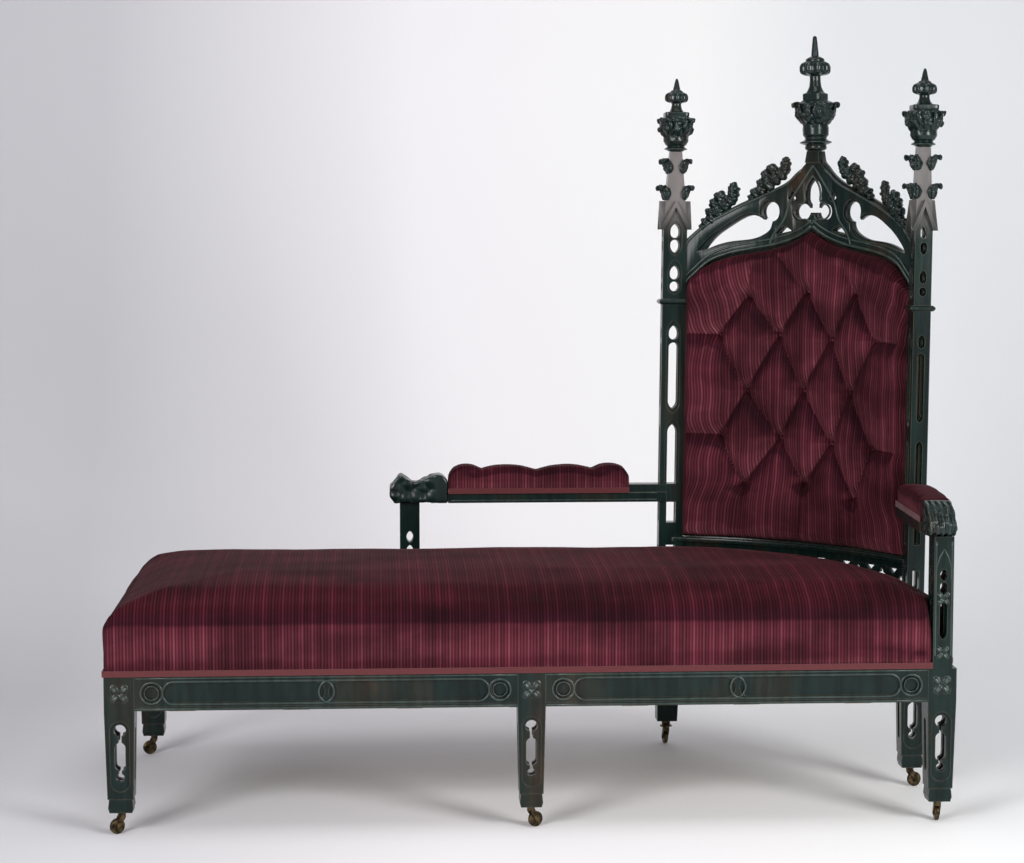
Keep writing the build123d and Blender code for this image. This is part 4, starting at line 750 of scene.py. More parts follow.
# %% [markdown]
# ## The buttoned back
# Deep buttoning gathers the velvet into diamonds. Each button is drawn in to the canvas,
# and from button to button runs a folded pleat, so the surface is a row of pillows with
# sharp valleys between them. The pleats are known lines, so the surface can be computed: a
# grid over the back whose depth depends on the distance to the nearest pleat and the
# nearest button. Air pressure then gives the pillows the small tight wrinkles that
# arithmetic doesn't.

# %% Buttons and pleats
BUTTONS = (
    ((-144, 1049), (-2, 1062), (127, 1061)),
    ((-209, 960), (-69, 963), (64, 956), (188, 956)),
    ((-145, 835), (-7, 840), (119, 839)),
    ((-202, 733), (-62, 732), (70, 726), (186, 721)),
    ((-148, 621), (1, 630), (137, 605)),
)
PAD_BOTTOM = 497.0
PAD_REACH = 296.0
ARCH = ((0, 1194), (40, 1172), (90, 1156), (150, 1145), (200, 1134), (245, 1113), (274, 1084),
        (316.5, 1039))


def pleats():
    """Every fold: its two ends and how deep it is."""
    lines = []
    for row in (0, 2, 4):
        for near in (row - 1, row + 1):
            if 0 <= near < len(BUTTONS):
                for place, button in enumerate(BUTTONS[row]):
                    ends = BUTTONS[near][place:place + 2]
                    lines += [(button, end, 1.0) for end in ends]
    for row in (1, 3):
        left, right = BUTTONS[row][0], BUTTONS[row][-1]
        lines += [(left, (-PAD_REACH, left[1] + 2), 0.85), (right, (PAD_REACH, right[1] - 3), 0.8)]
    for button, foot in zip(BUTTONS[4], (-150, -12, 128)):
        lines.append((button, (foot, PAD_BOTTOM), 0.75))
    for button, head in zip(BUTTONS[0], ((-130, 1118), (-66, 1140), (98, 1118))):
        lines.append((button, head, 0.7))
    return lines


def arch_height(u):
    """Height of the ogee over the back: a cubic through its points, the same on both sides."""
    knots = np.array(ARCH, float)
    reach, height = knots[:, 0], knots[:, 1]
    slope = np.gradient(height, reach)
    side = np.clip(np.abs(u), 0, reach[-1] - 0.01)
    part = np.searchsorted(reach, side, side="right") - 1
    width = reach[part + 1] - reach[part]
    t = (side - reach[part]) / width
    start, end = height[part], height[part + 1]
    bend = t ** 2 * (3 - 2 * t)
    rise = width * (t * (1 - t) ** 2 * slope[part] - t ** 2 * (1 - t) * slope[part + 1])
    return start + (end - start) * bend + rise


print(len(pleats()), "pleats between", sum(len(row) for row in BUTTONS), "buttons")


# %% Depth of the stuffing
PILLOW_REACH = 50.0
VALLEY_FRONT = 22.0
PILLOW_RISE = 22.0
EDGE_ROLL = 24.0
PAD_RIM = 9.0
BUTTON_SINK, BUTTON_SPREAD = 14.0, 16.0


def stuffing_front(u, z, top):
    """How far the velvet stands in front of the back's curve, in millimetres."""
    rise = np.full(u.shape, PILLOW_RISE)
    for (u0, z0), (u1, z1), depth in pleats():
        du, dz = u1 - u0, z1 - z0
        share = np.clip(((u - u0) * du + (z - z0) * dz) / (du ** 2 + dz ** 2), 0, 1)
        gap = np.hypot(u - u0 - share * du, z - z0 - share * dz)
        near = np.clip(gap / PILLOW_REACH, 0, 1)
        pillow = np.sqrt(1 - (1 - near) ** 2)
        fading = depth * (1 - 0.35 * share * (depth < 0.9))
        rise = np.minimum(rise, PILLOW_RISE * (1 - fading * (1 - pillow)))
    front = VALLEY_FRONT + rise
    for row in BUTTONS:
        for bu, bz in row:
            gap = np.hypot(u - bu, z - bz)
            front = front - BUTTON_SINK * np.exp(-(gap / BUTTON_SPREAD) ** 2)
    edge = np.minimum(np.minimum(u + PAD_REACH, PAD_REACH - u), np.minimum(z - PAD_BOTTOM, top - z))
    roll = np.sqrt(1 - (1 - np.clip(edge / EDGE_ROLL, 0, 1)) ** 2)
    return PAD_RIM + (front - PAD_RIM) * roll


print("pillows stand", VALLEY_FRONT + PILLOW_RISE, "mm in front of the back's curve")

# %% Buttoned back
COLUMNS, ROWS = 151, 176
BACK_AIR, BACK_SWELL = 0.8, 0.003
SMOOTHING_ROWS = 16


def close_behind(piece, places, rim):
    """Close an open grid with flat cloth behind it, joined along the rim."""
    shell = bmesh.new()
    shell.from_mesh(piece.data)
    shell.verts.ensure_lookup_table()
    weave = shell.verts.layers.float["cloth_across"]
    fronts = list(shell.verts)
    rears = list(fronts)
    for index in np.flatnonzero(~rim):
        rear = shell.verts.new(places[index])
        rear[weave] = fronts[index][weave]
        rears[index] = rear
    for face in list(shell.faces):
        closing = shell.faces.new([rears[vertex.index] for vertex in reversed(face.verts)])
        closing.smooth = True
    shell.to_mesh(piece.data)
    shell.free()


def buttoned_back():
    """The velvet back: a grid over the curve, closed behind by a flat one."""
    across = np.linspace(-PAD_REACH, PAD_REACH, COLUMNS)
    up = np.linspace(0, 1, ROWS)
    u = np.tile(across, (ROWS, 1))
    top = arch_height(u) - 0.8
    z = PAD_BOTTOM + up[:, None] * (top - PAD_BOTTOM)
    front = stuffing_front(u, z, top)
    grain = np.array([noise.noise(Vector((a * 0.022, b * 0.012, 3.0)))
                      for a, b in zip(u.ravel(), z.ravel())])
    front += 1.6 * grain.reshape(u.shape) * (front > 8)
    cells = [(r * COLUMNS + c) for r in range(ROWS - 1) for c in range(COLUMNS - 1)]
    front_faces = [(a, a + 1, a + 1 + COLUMNS, a + COLUMNS) for a in cells]
    back = new_piece("velvet_back", on_back(u, z, -front).reshape(-1, 3), front_faces)
    rim = np.zeros((ROWS, COLUMNS), bool)
    rim[0], rim[-1], rim[:, 0], rim[:, -1] = True, True, True, True
    seam = (front < VALLEY_FRONT + 2.5) | rim
    plump(back, np.where(seam, 1.0, 0.0).ravel(), BACK_AIR, BACK_SWELL)
    steps = np.hypot(np.diff(u, axis=1), np.diff(front, axis=1))
    cloth = np.concatenate([np.zeros((ROWS, 1)), np.cumsum(steps, axis=1)], axis=1)
    cloth -= cloth[:, COLUMNS // 2][:, None]
    window = np.hanning(2 * SMOOTHING_ROWS + 1)
    window /= window.sum()
    padded = np.pad(cloth, ((SMOOTHING_ROWS, SMOOTHING_ROWS), (0, 0)), mode="edge")
    cloth = np.array([np.convolve(column, window, "valid") for column in padded.T]).T
    weave_across(back, cloth.ravel() * MM)
    close_behind(back, on_back(u, z, np.full(u.shape, -1.0)).reshape(-1, 3), rim.ravel())
    finer(back)
    dressed(back, "back_upholstery", "velvet")
    return back


velvet_back = buttoned_back()
print("back grid", len(velvet_back.data.vertices), "vertices")

# %% [markdown]
# ## Covered buttons
# Each button is a small domed disc covered in the same velvet, sunk at the meeting of the
# pleats. A dome is quick to build from rings, and all of them make one mesh.

# %% Buttons
BUTTON_RADIUS = 8.0


def covered_buttons():
    """A velvet dome at every button place."""
    verts, faces = [], []
    sides = 16
    rings = ((1.0, 0.0), (1.0, 2.5), (0.86, 4.6), (0.55, 6.0), (0.0, 6.6))
    for row in BUTTONS:
        for bu, bz in row:
            first = len(verts)
            for share, rise in rings:
                turn = np.arange(sides) * 2 * math.pi / sides
                u = bu + BUTTON_RADIUS * share * np.cos(turn)
                z = bz + BUTTON_RADIUS * share * np.sin(turn)
                verts.extend(on_back(u, z, -(9.0 + rise)))
            faces += tube_faces(len(rings), sides, first)
            faces.append(tuple(first + side for side in reversed(range(sides))))
    buttons = new_piece("velvet_buttons", verts, faces)
    weave_across(buttons, corners_of(buttons)[:, 0])
    dressed(buttons, "tufting_buttons", "velvet")
    return buttons


velvet_buttons = covered_buttons()
print(sum(len(row) for row in BUTTONS), "buttons")

# %% [markdown]
# ## Arm pads
# The left pad is drawn in at three places, so it has four humps. The right pad is one soft
# hump. Both have a skin from their plain solid, held at the foot where the braid is tacked.

# %% Pads
PAD_AIR, PAD_SWELL = 3.0, 0.005


def arm_pad(node, name, axis):
    """A plump velvet pad; axis is the one that the stripes are counted along."""
    pad = skin_of(node, name, 0.006, 3)
    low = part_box(node)[0]
    held = np.where(corners_of(pad)[:, 2] < low.z + 0.013, 1.0, 0.0)
    plump(pad, held, PAD_AIR, PAD_SWELL)
    places = corners_of(pad)
    wave = np.array([noise.noise(Vector(p) * 22) for p in places])
    places += corner_normals(pad) * (0.0010 * wave * (held < 0.5))[:, None]
    move_corners(pad, places)
    weave_across(pad, places[:, axis])
    finer(pad)
    dressed(pad, node, "velvet")
    return pad


for pad_node, pad_name, stripe_axis in (("left_arm_pad", "velvet_left_pad", 0),
                                        ("right_arm_pad", "velvet_right_pad", 1)):
    arm_pad(pad_node, pad_name, stripe_axis)
print("two pads")

# %% [markdown]
# ## Cloth under the stuffing
# Under the velvet a couch has plain cloth that nobody is meant to see: hessian over the
# springs, canvas behind the back's stuffing, and a lining that closes the back from behind.
# Each is a thin sheet stretched over wood and tacked. The canvas and the lining are modelled
# as grids with their real thickness, and the lining swells by under a millimetre in its
# middle; the hessian is a copy of the frame's own spring cloth.

# %% Stretched sheets
def thin_sheet(name, grid, thickness_step):
    """A closed thin sheet from a grid of places and the step to its other face."""
    verts = np.concatenate([grid.reshape(-1, 3), (grid + thickness_step).reshape(-1, 3)])
    return new_piece(name, verts, sheet_faces(*grid.shape[:2]))


def back_sheet(name, low, inset, off, swell, thickness):
    """A sheet over the curve of the back, swelling by that much in its middle."""
    u = np.tile(np.linspace(-PAD_REACH, PAD_REACH, 60), (60, 1))
    share = np.linspace(0, 1, 60)[:, None]
    z = low + share * (arch_height(u) - inset - low)
    bow = swell * np.sin(math.pi * share) * np.cos(u / PAD_REACH * math.pi / 2)
    front = on_back(u, z, off + bow)
    return thin_sheet(name, front, on_back(u, z, off + bow + thickness) - front)


def flat_area(piece):
    """Half the piece's surface: one face of a thin sheet."""
    return sum(polygon.area for polygon in piece.data.polygons) / 2


canvas_back = back_sheet("canvas_back", PAD_BOTTOM, 8.0, 0.1, 0.0, 1.6)
dressed(canvas_back, "back_canvas", "canvas")
lining = back_sheet("back_lining", PAD_BOTTOM - 6, -5.0, 12.2, 0.8, 1.2)
dressed(lining, "outside_back_lining", "lining")
print("canvas", round(flat_area(canvas_back), 3), "m2, lining", round(flat_area(lining), 3), "m2")


# %% Hessian over the springs
def hessian_sheet():
    """The plain spring cloth with its finish."""
    sheet = bpy.data.objects.new("hessian_cover", frame["nodes"]["spring_canvas"].data.copy())
    bpy.context.scene.collection.objects.link(sheet)
    dressed(sheet, "spring_canvas", "canvas")
    return sheet


hessian = hessian_sheet()
print("hessian", round(flat_area(hessian), 3), "m2")

# %% [markdown]
# ## Carved finials
# A finial is turned and then carved: mouldings, a leafy capital with a square block, a
# cone, a gadrooned bulb and a spike. One builder makes all of it. It stacks rings whose
# section can run from round to square and can carry lobes, and curled leaves are added on
# top. The plain finials give the room that each one may fill.

# %% Turning with lobes
ROUND = (2, 0, 0)


def closer_rings(rings, step=1.6):
    """The same rings with more between them, so that carving has enough corners to move."""
    rings = [(*ring, *ROUND[len(ring) - 2:]) for ring in rings]
    closer = []
    for lower, upper in zip(rings, rings[1:]):
        count = max(1, round((upper[0] - lower[0]) / step))
        for number in range(count):
            share = number / count
            closer.append([a + (b - a) * share for a, b in zip(lower, upper)])
            closer[-1][3] = max(lower[3], upper[3])
    return [*closer, rings[-1]]


def carved_rings(rings, place, around=64):
    """Mesh data for stacked rings: height, half width and, if not round, squareness, lobes, depth."""
    turn = np.arange(around) * 2 * math.pi / around
    cosine, sine = np.cos(turn), np.sin(turn)
    rings = closer_rings(rings)
    verts = []
    for height, half, square, lobes, depth in rings:
        radius = half / (np.abs(cosine) ** square + np.abs(sine) ** square) ** (1 / square)
        if lobes:
            radius = radius * (1 - depth * (1 - np.abs(np.cos(lobes * turn / 2))))
        verts.extend(place(radius * cosine, radius * sine, np.full(around, float(height))))
    faces = tube_faces(len(rings), around)
    last = (len(rings) - 1) * around
    faces.append(tuple(range(last, last + around)))
    faces.append(tuple(reversed(range(around))))
    return verts, faces


print("turning helper ready")


# %% Curled leaf
def curled_leaf(path, width, turn, place, thickness=2.6):
    """Mesh data for a carved leaf that grows outward and up along path, at an angle of turn."""
    path = np.array(path, float)
    along = np.linspace(0, 1, 13)
    knots = np.linspace(0, 1, len(path))
    out = np.interp(along, knots, path[:, 0])
    up = np.interp(along, knots, path[:, 1])
    lean_out = np.gradient(out)
    lean_up = np.gradient(up)
    length = np.hypot(lean_out, lean_up)
    verts = []
    across = np.linspace(-1, 1, 9)
    for side_of_leaf in (0.0, -thickness):
        for i, t in enumerate(along):
            half = 0.5 * width * math.sin(math.pi * (0.12 + 0.86 * t)) ** 0.55
            half *= 1 + 0.16 * math.cos(t * 6 * math.pi)
            lift = side_of_leaf + 1.6 * np.cos(across * 2.5 * math.pi) - 3.0 * across ** 2
            normal_out, normal_up = lean_up[i] / length[i], -lean_out[i] / length[i]
            outward = out[i] + normal_out * lift
            upward = up[i] + normal_up * lift
            x = outward * math.cos(turn) - across * half * math.sin(turn)
            y = outward * math.sin(turn) + across * half * math.cos(turn)
            verts.extend(place(x, y, upward))
    return verts, turned(sheet_faces(len(along), len(across)))


print("leaf helper ready")


# %% Carved pieces
def gathered(parts):
    """Several parts' mesh data as one."""
    verts, faces = [], []
    for part_verts, part_faces in parts:
        first = len(verts)
        verts.extend(part_verts)
        faces.extend(tuple(i + first for i in face) for face in part_faces)
    return verts, faces


def cell_bosses(places, scale):
    """Distance to the nearest cell middle: low on a boss and high in the grooves."""
    return np.array([noise.voronoi(Vector(place) * scale)[0][0] for place in places])


def carving(name, parts, node, depth=0.0, foot=0.0, head=9.0, scale=62):
    """A carved wooden piece for a frame node, with bosses that deep between two heights."""
    piece = new_piece(name, *gathered(parts))
    if depth:
        places = corners_of(piece)
        inside = (places[:, 2] > foot) & (places[:, 2] < head)
        lift = depth * (0.38 - cell_bosses(places[inside], scale))
        places[inside] += corner_normals(piece)[inside] * (lift * MM)[:, None]
        move_corners(piece, places)
    finer(piece)
    dressed(piece, node, "ebonised_wood")
    piece.data.materials[0] = carved_wood
    return piece


print("carving helpers ready")


# %% Where finials stand
FINIAL_TILT = math.radians(2.0)


def on_crest(x, y, z):
    """A place on the middle finial: x along the back, y behind it, z above the crest."""
    along = x * math.cos(FINIAL_TILT) - z * math.sin(FINIAL_TILT)
    height = SPIRE_TOP + z * math.cos(FINIAL_TILT) + x * math.sin(FINIAL_TILT)
    foot = CHORD_MIDDLE + BEHIND * BACK_SAGITTA
    east = foot.x + ALONG.x * along + BEHIND.x * y
    north = foot.y + ALONG.y * along + BEHIND.y * y
    return leaned(east, north, height)


def on_left_post(x, y, z):
    """A place on the left tall post, z above its spire."""
    return leaned(LEFT_POST.x + x, LEFT_POST.y + y, SPIRE_TOP + z)


def on_right_post(x, y, z):
    """The same on the right tall post, which is turned a quarter."""
    return leaned(RIGHT_POST.x + y, RIGHT_POST.y - x, SPIRE_TOP + z)


print("finials tilt by", round(math.degrees(FINIAL_TILT), 1), "degrees")

# %% Finials
CREST_RINGS = (
    (0.5, 19.5), (2, 19.5), (3, 22.5), (6, 24), (10, 24), (13, 22.5), (14, 25), (18, 36),
    (20, 36), (23, 28), (27, 23.5), (31, 25), (35, 28.5), (50, 29), (58, 28.5, 2, 8, 0.05),
    (62, 34, 2, 8, 0.14), (70, 42, 2, 8, 0.2), (79, 46, 2.2, 8, 0.2), (88, 45, 2.4, 8, 0.2),
    (92, 40, 2.6, 8, 0.16), (97, 43, 2.8, 8, 0.2), (105, 41, 4, 8, 0.18), (111, 25, 6),
    (112, 21.5, 9), (113, 22, 9), (126, 22, 9), (127, 21, 9), (128, 18.5, 4), (132, 16.5, 3),
    (142, 13.5), (155, 12), (165, 12), (166, 13), (167.5, 25, 2, 8, 0.18), (171, 33, 2, 8, 0.22),
    (177, 35.4, 2, 8, 0.24), (186, 35.4, 2, 8, 0.24), (193, 32, 2, 8, 0.22),
    (196.5, 25, 2, 8, 0.16), (197.5, 20.5), (198.5, 21), (203, 20.5), (206, 16), (208, 11),
    (209, 8.4), (220, 7.6), (235, 6.2), (247, 5.0), (252, 4.2), (254.2, 2.0),
)

PINNACLE_RINGS = (
    (0.5, 17.8), (3, 18), (4, 22), (5.5, 26.6), (7, 26.6), (9, 22), (12, 19), (16, 24),
    (24, 28.5), (34, 28.5, 2, 8, 0.05), (38, 33, 2, 8, 0.14), (45, 39, 2, 8, 0.2),
    (54, 41, 2.2, 8, 0.2), (60, 39, 2.4, 8, 0.2), (64, 37, 2.6, 8, 0.16), (69, 39, 3, 8, 0.2),
    (75, 36, 5, 8, 0.16), (78, 27, 7), (79, 26.5, 9), (80, 27.5, 9), (88, 27.5, 9), (89, 26, 9),
    (90, 16.5, 4), (96, 13), (104, 10.8), (109, 10.8), (110, 12), (111.5, 20, 2, 8, 0.18),
    (114, 25, 2, 8, 0.22), (118, 26.8, 2, 8, 0.24), (125, 26.8, 2, 8, 0.24),
    (131, 24, 2, 8, 0.22), (134, 18, 2, 8, 0.16), (135, 14.5), (138, 13), (139.5, 8.5),
    (148, 6.5), (158, 4.4), (164, 2.6), (165.6, 1.2),
)



CAPITAL_DEPTH = 7.0


def capital_leaves(base, reach, top, place):
    """Eight curled leaves round a capital, from base to top."""
    tall = top - base
    leaves = []
    for k in range(8):
        turn = k * math.pi / 4
        corner = k % 2
        far = reach * (0.95 if corner else 0.76)
        peak = base + tall * (0.90 if corner else 0.46)
        path = [(far * 0.58, base), (far * 0.74, base + 0.2 * tall), (far * 0.90, (base + peak) / 2),
                (far * 0.97, peak - 5), (far - 3, peak - 1), (far - 1, peak - 4), (far - 3, peak - 8)]
        leaves.append(curled_leaf(path, far * 0.72, turn, place, 5.5))
    return leaves


def finial(name, node, rings, place, leafy):
    """A carved finial; leafy is its capital's foot, leaf reach and head."""
    foot, reach, head = leafy
    parts = [carved_rings(rings, place), *capital_leaves(foot, reach, head, place)]
    low, high = place(0, 0, foot)[2], place(0, 0, head - 2)[2]
    return carving(name, parts, node, CAPITAL_DEPTH, low, high)


crest_finial = finial("carved_crest_finial", "crest_finial", CREST_RINGS, on_crest, (58, 50, 112))
finial("carved_left_finial", "left_pinnacle_finial", PINNACLE_RINGS, on_left_post, (34, 45, 79))
finial("carved_right_finial", "right_pinnacle_finial", PINNACLE_RINGS, on_right_post, (34, 45, 79))
print("three finials,", len(crest_finial.data.vertices), "vertices in the middle one")

# %% [markdown]
# ## Leaf knobs on the spires
# Crockets are the little carved leaves that climb Gothic spires. On the posts each is a
# lobed knob with a leaf that curls away from the corner it grows on.

# %% Spire crockets
KNOB_RINGS = (
    (-1, 4, 2, 5, 0.1), (4, 8, 2, 5, 0.25), (10, 11, 2, 5, 0.3), (17, 12, 2, 5, 0.3),
    (23, 9, 2, 5, 0.3), (27, 6, 2, 5, 0.2), (30, 3),
)

KNOB_LEAF = ((1, 2), (6, 10), (10, 18), (13, 25), (16, 29), (18, 27), (16, 23))
SPIRE_TIERS = (1277.0, 1337.0)
SPIRE_FOOT = 1205.0


def spire_knobs(post_place):
    """Two tiers of four knobs on a spire's corners."""
    parts = []
    for tier in SPIRE_TIERS:
        share = (tier - SPIRE_FOOT) / (SPIRE_TOP - SPIRE_FOOT)
        wide = (54 * (1 - share) + 27 * share) / 2
        deep = (37 * (1 - share) + 27 * share) / 2
        for side in (-1, 1):
            for end in (-1, 1):
                def place(x, y, z, side=side, end=end, tier=tier):
                    return post_place(side * wide + x, end * deep + y, z + tier - 15 - SPIRE_TOP)
                turn = math.atan2(end, side)
                parts.append(carved_rings(KNOB_RINGS, place, 20))
                parts.append(curled_leaf(KNOB_LEAF, 17, turn, place, 3.5))
    return parts


for side_name, post_place in (("left", on_left_post), ("right", on_right_post)):
    carving("carved_" + side_name + "_crockets", spire_knobs(post_place),
            side_name + "_pinnacle_crockets", depth=4.0, scale=95)
print("sixteen leaf knobs")

# %% [markdown]
# ## Leaves that climb the crest
# On each shoulder of the crest two leaf clusters climb towards the middle. A cluster is a
# run of lobed leaves of different sizes along the slope. Each lobe is a flattened ball with
# ridges that fan out from its root, and the lobes overlap, as carved foliage does.

# %% Crest crockets
LEAF_LOBES = ((-46, 3, 10), (-34, 8, 13), (-20, 7, 15), (-12, 20, 13), (0, 13, 18), (6, 31, 14),
              (20, 16, 18), (24, 36, 14), (38, 17, 15), (50, 22, 12), (57, 31, 13), (62, 39, 8))
LEAF_PLACES = ((109, 1288, 28), (219, 1227, 38))


def leaf_lobe(u, z, radius, root_turn, mirror):
    """A flattened lobed ball in the plane of the crest."""
    verts = []
    rings, around = 9, 30
    for ring in range(rings):
        rise = -math.pi / 2 + math.pi * ring / (rings - 1)
        for k in range(around):
            turn = 2 * math.pi * k / around
            fan = 1 - 0.24 * (1 - abs(math.cos(2.5 * (turn - root_turn))))
            reach = radius * fan * math.cos(rise) ** 0.8 if ring not in (0, rings - 1) else 0.0
            off = -2 - 13.0 * math.sin(rise) * (0.4 + 0.6 * fan) * min(1.0, radius / 14 + 0.2)
            verts.append(on_back(mirror * (u + reach * math.cos(turn)), z + reach * math.sin(turn), off))
    faces = tube_faces(rings, around)
    return verts, faces if mirror < 0 else turned(faces)


def crest_leaves():
    """All lobes of the four clusters."""
    parts = []
    for mirror in (-1, 1):
        for u, z, slope in LEAF_PLACES:
            tilt = math.radians(slope)
            for number, (along, out, radius) in enumerate(LEAF_LOBES):
                lobe_u = u - along * math.cos(tilt) + out * math.sin(tilt)
                lobe_z = z + along * math.sin(tilt) + out * math.cos(tilt)
                root = math.pi / 2 + (0.9 if number % 2 else -0.5) + tilt
                parts.append(leaf_lobe(lobe_u, lobe_z, radius, root, mirror))
    return parts


crest_crockets = carving("carved_crest_crockets", crest_leaves(), "crest_crockets", 5.0, scale=85)
print("four leaf clusters on the crest")

# %% [markdown]
# ## Mouldings
# The crest is edged by rounded beads that catch the light in long lines, and so are its
# trefoil, the post of the right arm and the left arm's rail. The sunk panels of the front
# rails are outlined by beads whose loops cross in the middle of each rail. A bead is a
# small tube swept along a line of places, laid half into the wood.

# %% Bead along a line
def bead(points, radius, closed=False, sides=8):
    """Mesh data for a tube along places in the frame, radius in millimetres."""
    points = np.array(points, float)
    if closed:
        tangent = np.roll(points, -1, axis=0) - np.roll(points, 1, axis=0)
    else:
        tangent = np.gradient(points, axis=0)
    tangent /= np.linalg.norm(tangent, axis=1, keepdims=True)
    guide = np.array([0.03, 1.0, 0.05])
    first = np.cross(tangent, guide)
    first /= np.linalg.norm(first, axis=1, keepdims=True)
    second = np.cross(tangent, first)
    turn = np.arange(sides) * 2 * math.pi / sides
    ring = first[:, None] * np.cos(turn)[None, :, None] + second[:, None] * np.sin(turn)[None, :, None]
    verts = (points[:, None] + ring * radius * MM).reshape(-1, 3)
    count = len(points)
    faces = tube_faces(count, sides, closed=closed)
    if not closed:
        faces.append(tuple(reversed(range(sides))))
        faces.append(tuple(range((count - 1) * sides, count * sides)))
    return verts, faces


print("bead helper ready")

# %% Crest beads
CREST_EDGE = ((30, 1345), (42, 1325), (66, 1306), (140, 1273), (188, 1251), (240, 1222), (264, 1203),
              (300, 1161))


BEAD_FACE, EDGE_BEAD_FACE = -10.3, -10.4
FRAME_EDGE = ((104, 1164), (97, 1185), (80, 1205), (68, 1222), (62, 1243), (55, 1262), (40, 1284),
              (24, 1306), (10, 1326), (0, 1338))
TREFOIL_EDGE = ((0, 1210), (9, 1218), (18, 1221), (30, 1217), (44, 1227), (48, 1240), (41, 1252),
                (28, 1257), (18, 1257), (21, 1272), (19, 1288), (11, 1304), (0, 1316))


def smoothed(points, count):
    """A denser and rounder line through places on the back."""
    points = np.array(points, float)
    knots = np.concatenate([[0], np.cumsum(np.hypot(*np.diff(points, axis=0).T))])
    even = np.linspace(0, knots[-1], count)
    line = np.stack([np.interp(even, knots, points[:, 0]), np.interp(even, knots, points[:, 1])])
    longer = np.pad(line, ((0, 0), (3, 3)), mode="reflect", reflect_type="odd")
    return np.array([np.convolve(row, np.ones(7) / 7, "valid") for row in longer])


def crest_beads():
    """Rounded beads along the ogee, under the crest's upper edge and round the trefoil."""
    parts = []
    for mirror in (-1, 1):
        for edge, radius in ((FRAME_EDGE, 3.2), (TREFOIL_EDGE, 2.4)):
            u, z = smoothed(edge, 60)
            parts.append(bead(on_back(mirror * u, z, BEAD_FACE), radius))
    reach = np.linspace(2, 292, 60)
    for mirror in (-1, 1):
        for rise, radius in ((9.0, 3.6), (22.0, 2.6)):
            lift = arch_height(reach) + rise + 3.0 * np.exp(-(reach / 12) ** 2)
            parts.append(bead(on_back(mirror * reach, lift, EDGE_BEAD_FACE), radius))
        knots = np.array(CREST_EDGE, float)
        along = np.linspace(knots[0, 0], knots[-1, 0], 50)
        upper = np.interp(along, knots[:, 0], knots[:, 1])
        smooth = np.convolve(np.pad(upper, 3, mode="edge"), np.ones(7) / 7, "valid")
        parts.append(bead(on_back(mirror * along, smooth - 9.0, EDGE_BEAD_FACE), 3.0))
    return parts


def added_carving(name, parts):
    """A carved piece that is laid on the frame's own wood."""
    piece = new_piece(name, *gathered(parts))
    piece.data.materials.append(carved_wood)
    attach(piece, "frame")
    return piece


beads_on_crest = added_carving("crest_beads", crest_beads())
print("crest beads", len(beads_on_crest.data.vertices), "vertices")

# %% Front beads
MIDDLE_LEG = 817.0
PANEL_MIDDLE = 286.5
RAIL_FACE = -26.0
FRONT_RAILS = ((28.0, 789.0), (845.0, 1618.0))


def loop_places(left, right, half):
    """A long loop with round ends on the front rail's face."""
    places = []
    for turn in np.linspace(-math.pi / 2, math.pi / 2, 13):
        places.append((right - half + half * math.cos(turn), half * math.sin(turn)))
    for turn in np.linspace(math.pi / 2, 3 * math.pi / 2, 13):
        places.append((left + half + half * math.cos(turn), half * math.sin(turn)))
    return [at(x, RAIL_FACE - 0.2, PANEL_MIDDLE + z) for x, z in places]


def rail_beads():
    """Roundels and crossing loops on both front rails."""
    parts = []
    for start, end in FRONT_RAILS:
        middle = (start + end) / 2
        for centre in (start + 35.5, end - 35.5):
            parts.append(bead(loop_places(centre - 21.5, centre + 21.5, 21.5), 2.4, closed=True))
            parts.append(bead(loop_places(centre - 14, centre + 14, 14), 1.4, closed=True))
        parts.append(bead(loop_places(start + 57, middle + 15, 22.5), 2.4, closed=True))
        parts.append(bead(loop_places(middle - 15, end - 57, 22.5), 2.4, closed=True))
        for z in (254.5, 316.0):
            line = [at(x, RAIL_FACE + 0.4, z) for x in np.linspace(start - 2, end + 2, 12)]
            parts.append(bead(line, 2.2))
    return parts


POST_FACE = -28.0
ARM_POST_LEFT, ARM_POST_RIGHT = FRONT_SPAN - 20.0, FRONT_SPAN + 20.0


def post_beads():
    """Edge beads and pointed panels on the post that carries the right arm."""
    parts = []
    middle = (ARM_POST_LEFT + ARM_POST_RIGHT) / 2
    for x in (ARM_POST_LEFT + 4, ARM_POST_RIGHT - 4):
        parts.append(bead([at(x, POST_FACE + 0.6, z) for z in np.linspace(345, 578, 24)], 2.4))
    for side in (-1, 1):
        arch = ((15, 500), (15, 525), (9, 545), (0, 562))
        parts.append(bead([at(middle + side * x, POST_FACE + 0.4, z) for x, z in arch], 1.8))
    return parts


ARM_RAIL_FACE = 692.0


def arm_rail_beads():
    """Two long beads on the front of the left arm rail."""
    return [bead([at(x, ARM_RAIL_FACE - 0.2, z) for x in np.linspace(678, 1150, 40)], 1.9)
            for z in (580.5, 596.0)]


front_beads = added_carving("front_beads", [*rail_beads(), *post_beads(), *arm_rail_beads()])
print("front beads", len(front_beads.data.vertices), "vertices")

# %% [markdown]
# ## Four-leaved bosses
# The rail blocks over the three front legs carry four small leaves set crosswise, and two
# more groups stand on the post of the right arm. Each leaf is half of a flattened ball
# with a groove down its middle, laid on the flat face.

# %% Leaf bosses
BOSS_GROUPS = (*((x, PANEL_MIDDLE, 12.5, 9.5) for x in (0.0, MIDDLE_LEG, FRONT_SPAN)),
               (FRONT_SPAN, 352.0, 9.0, 7.0), (FRONT_SPAN, 462.0, 9.0, 7.0))
BOSS_RISE = 4.2


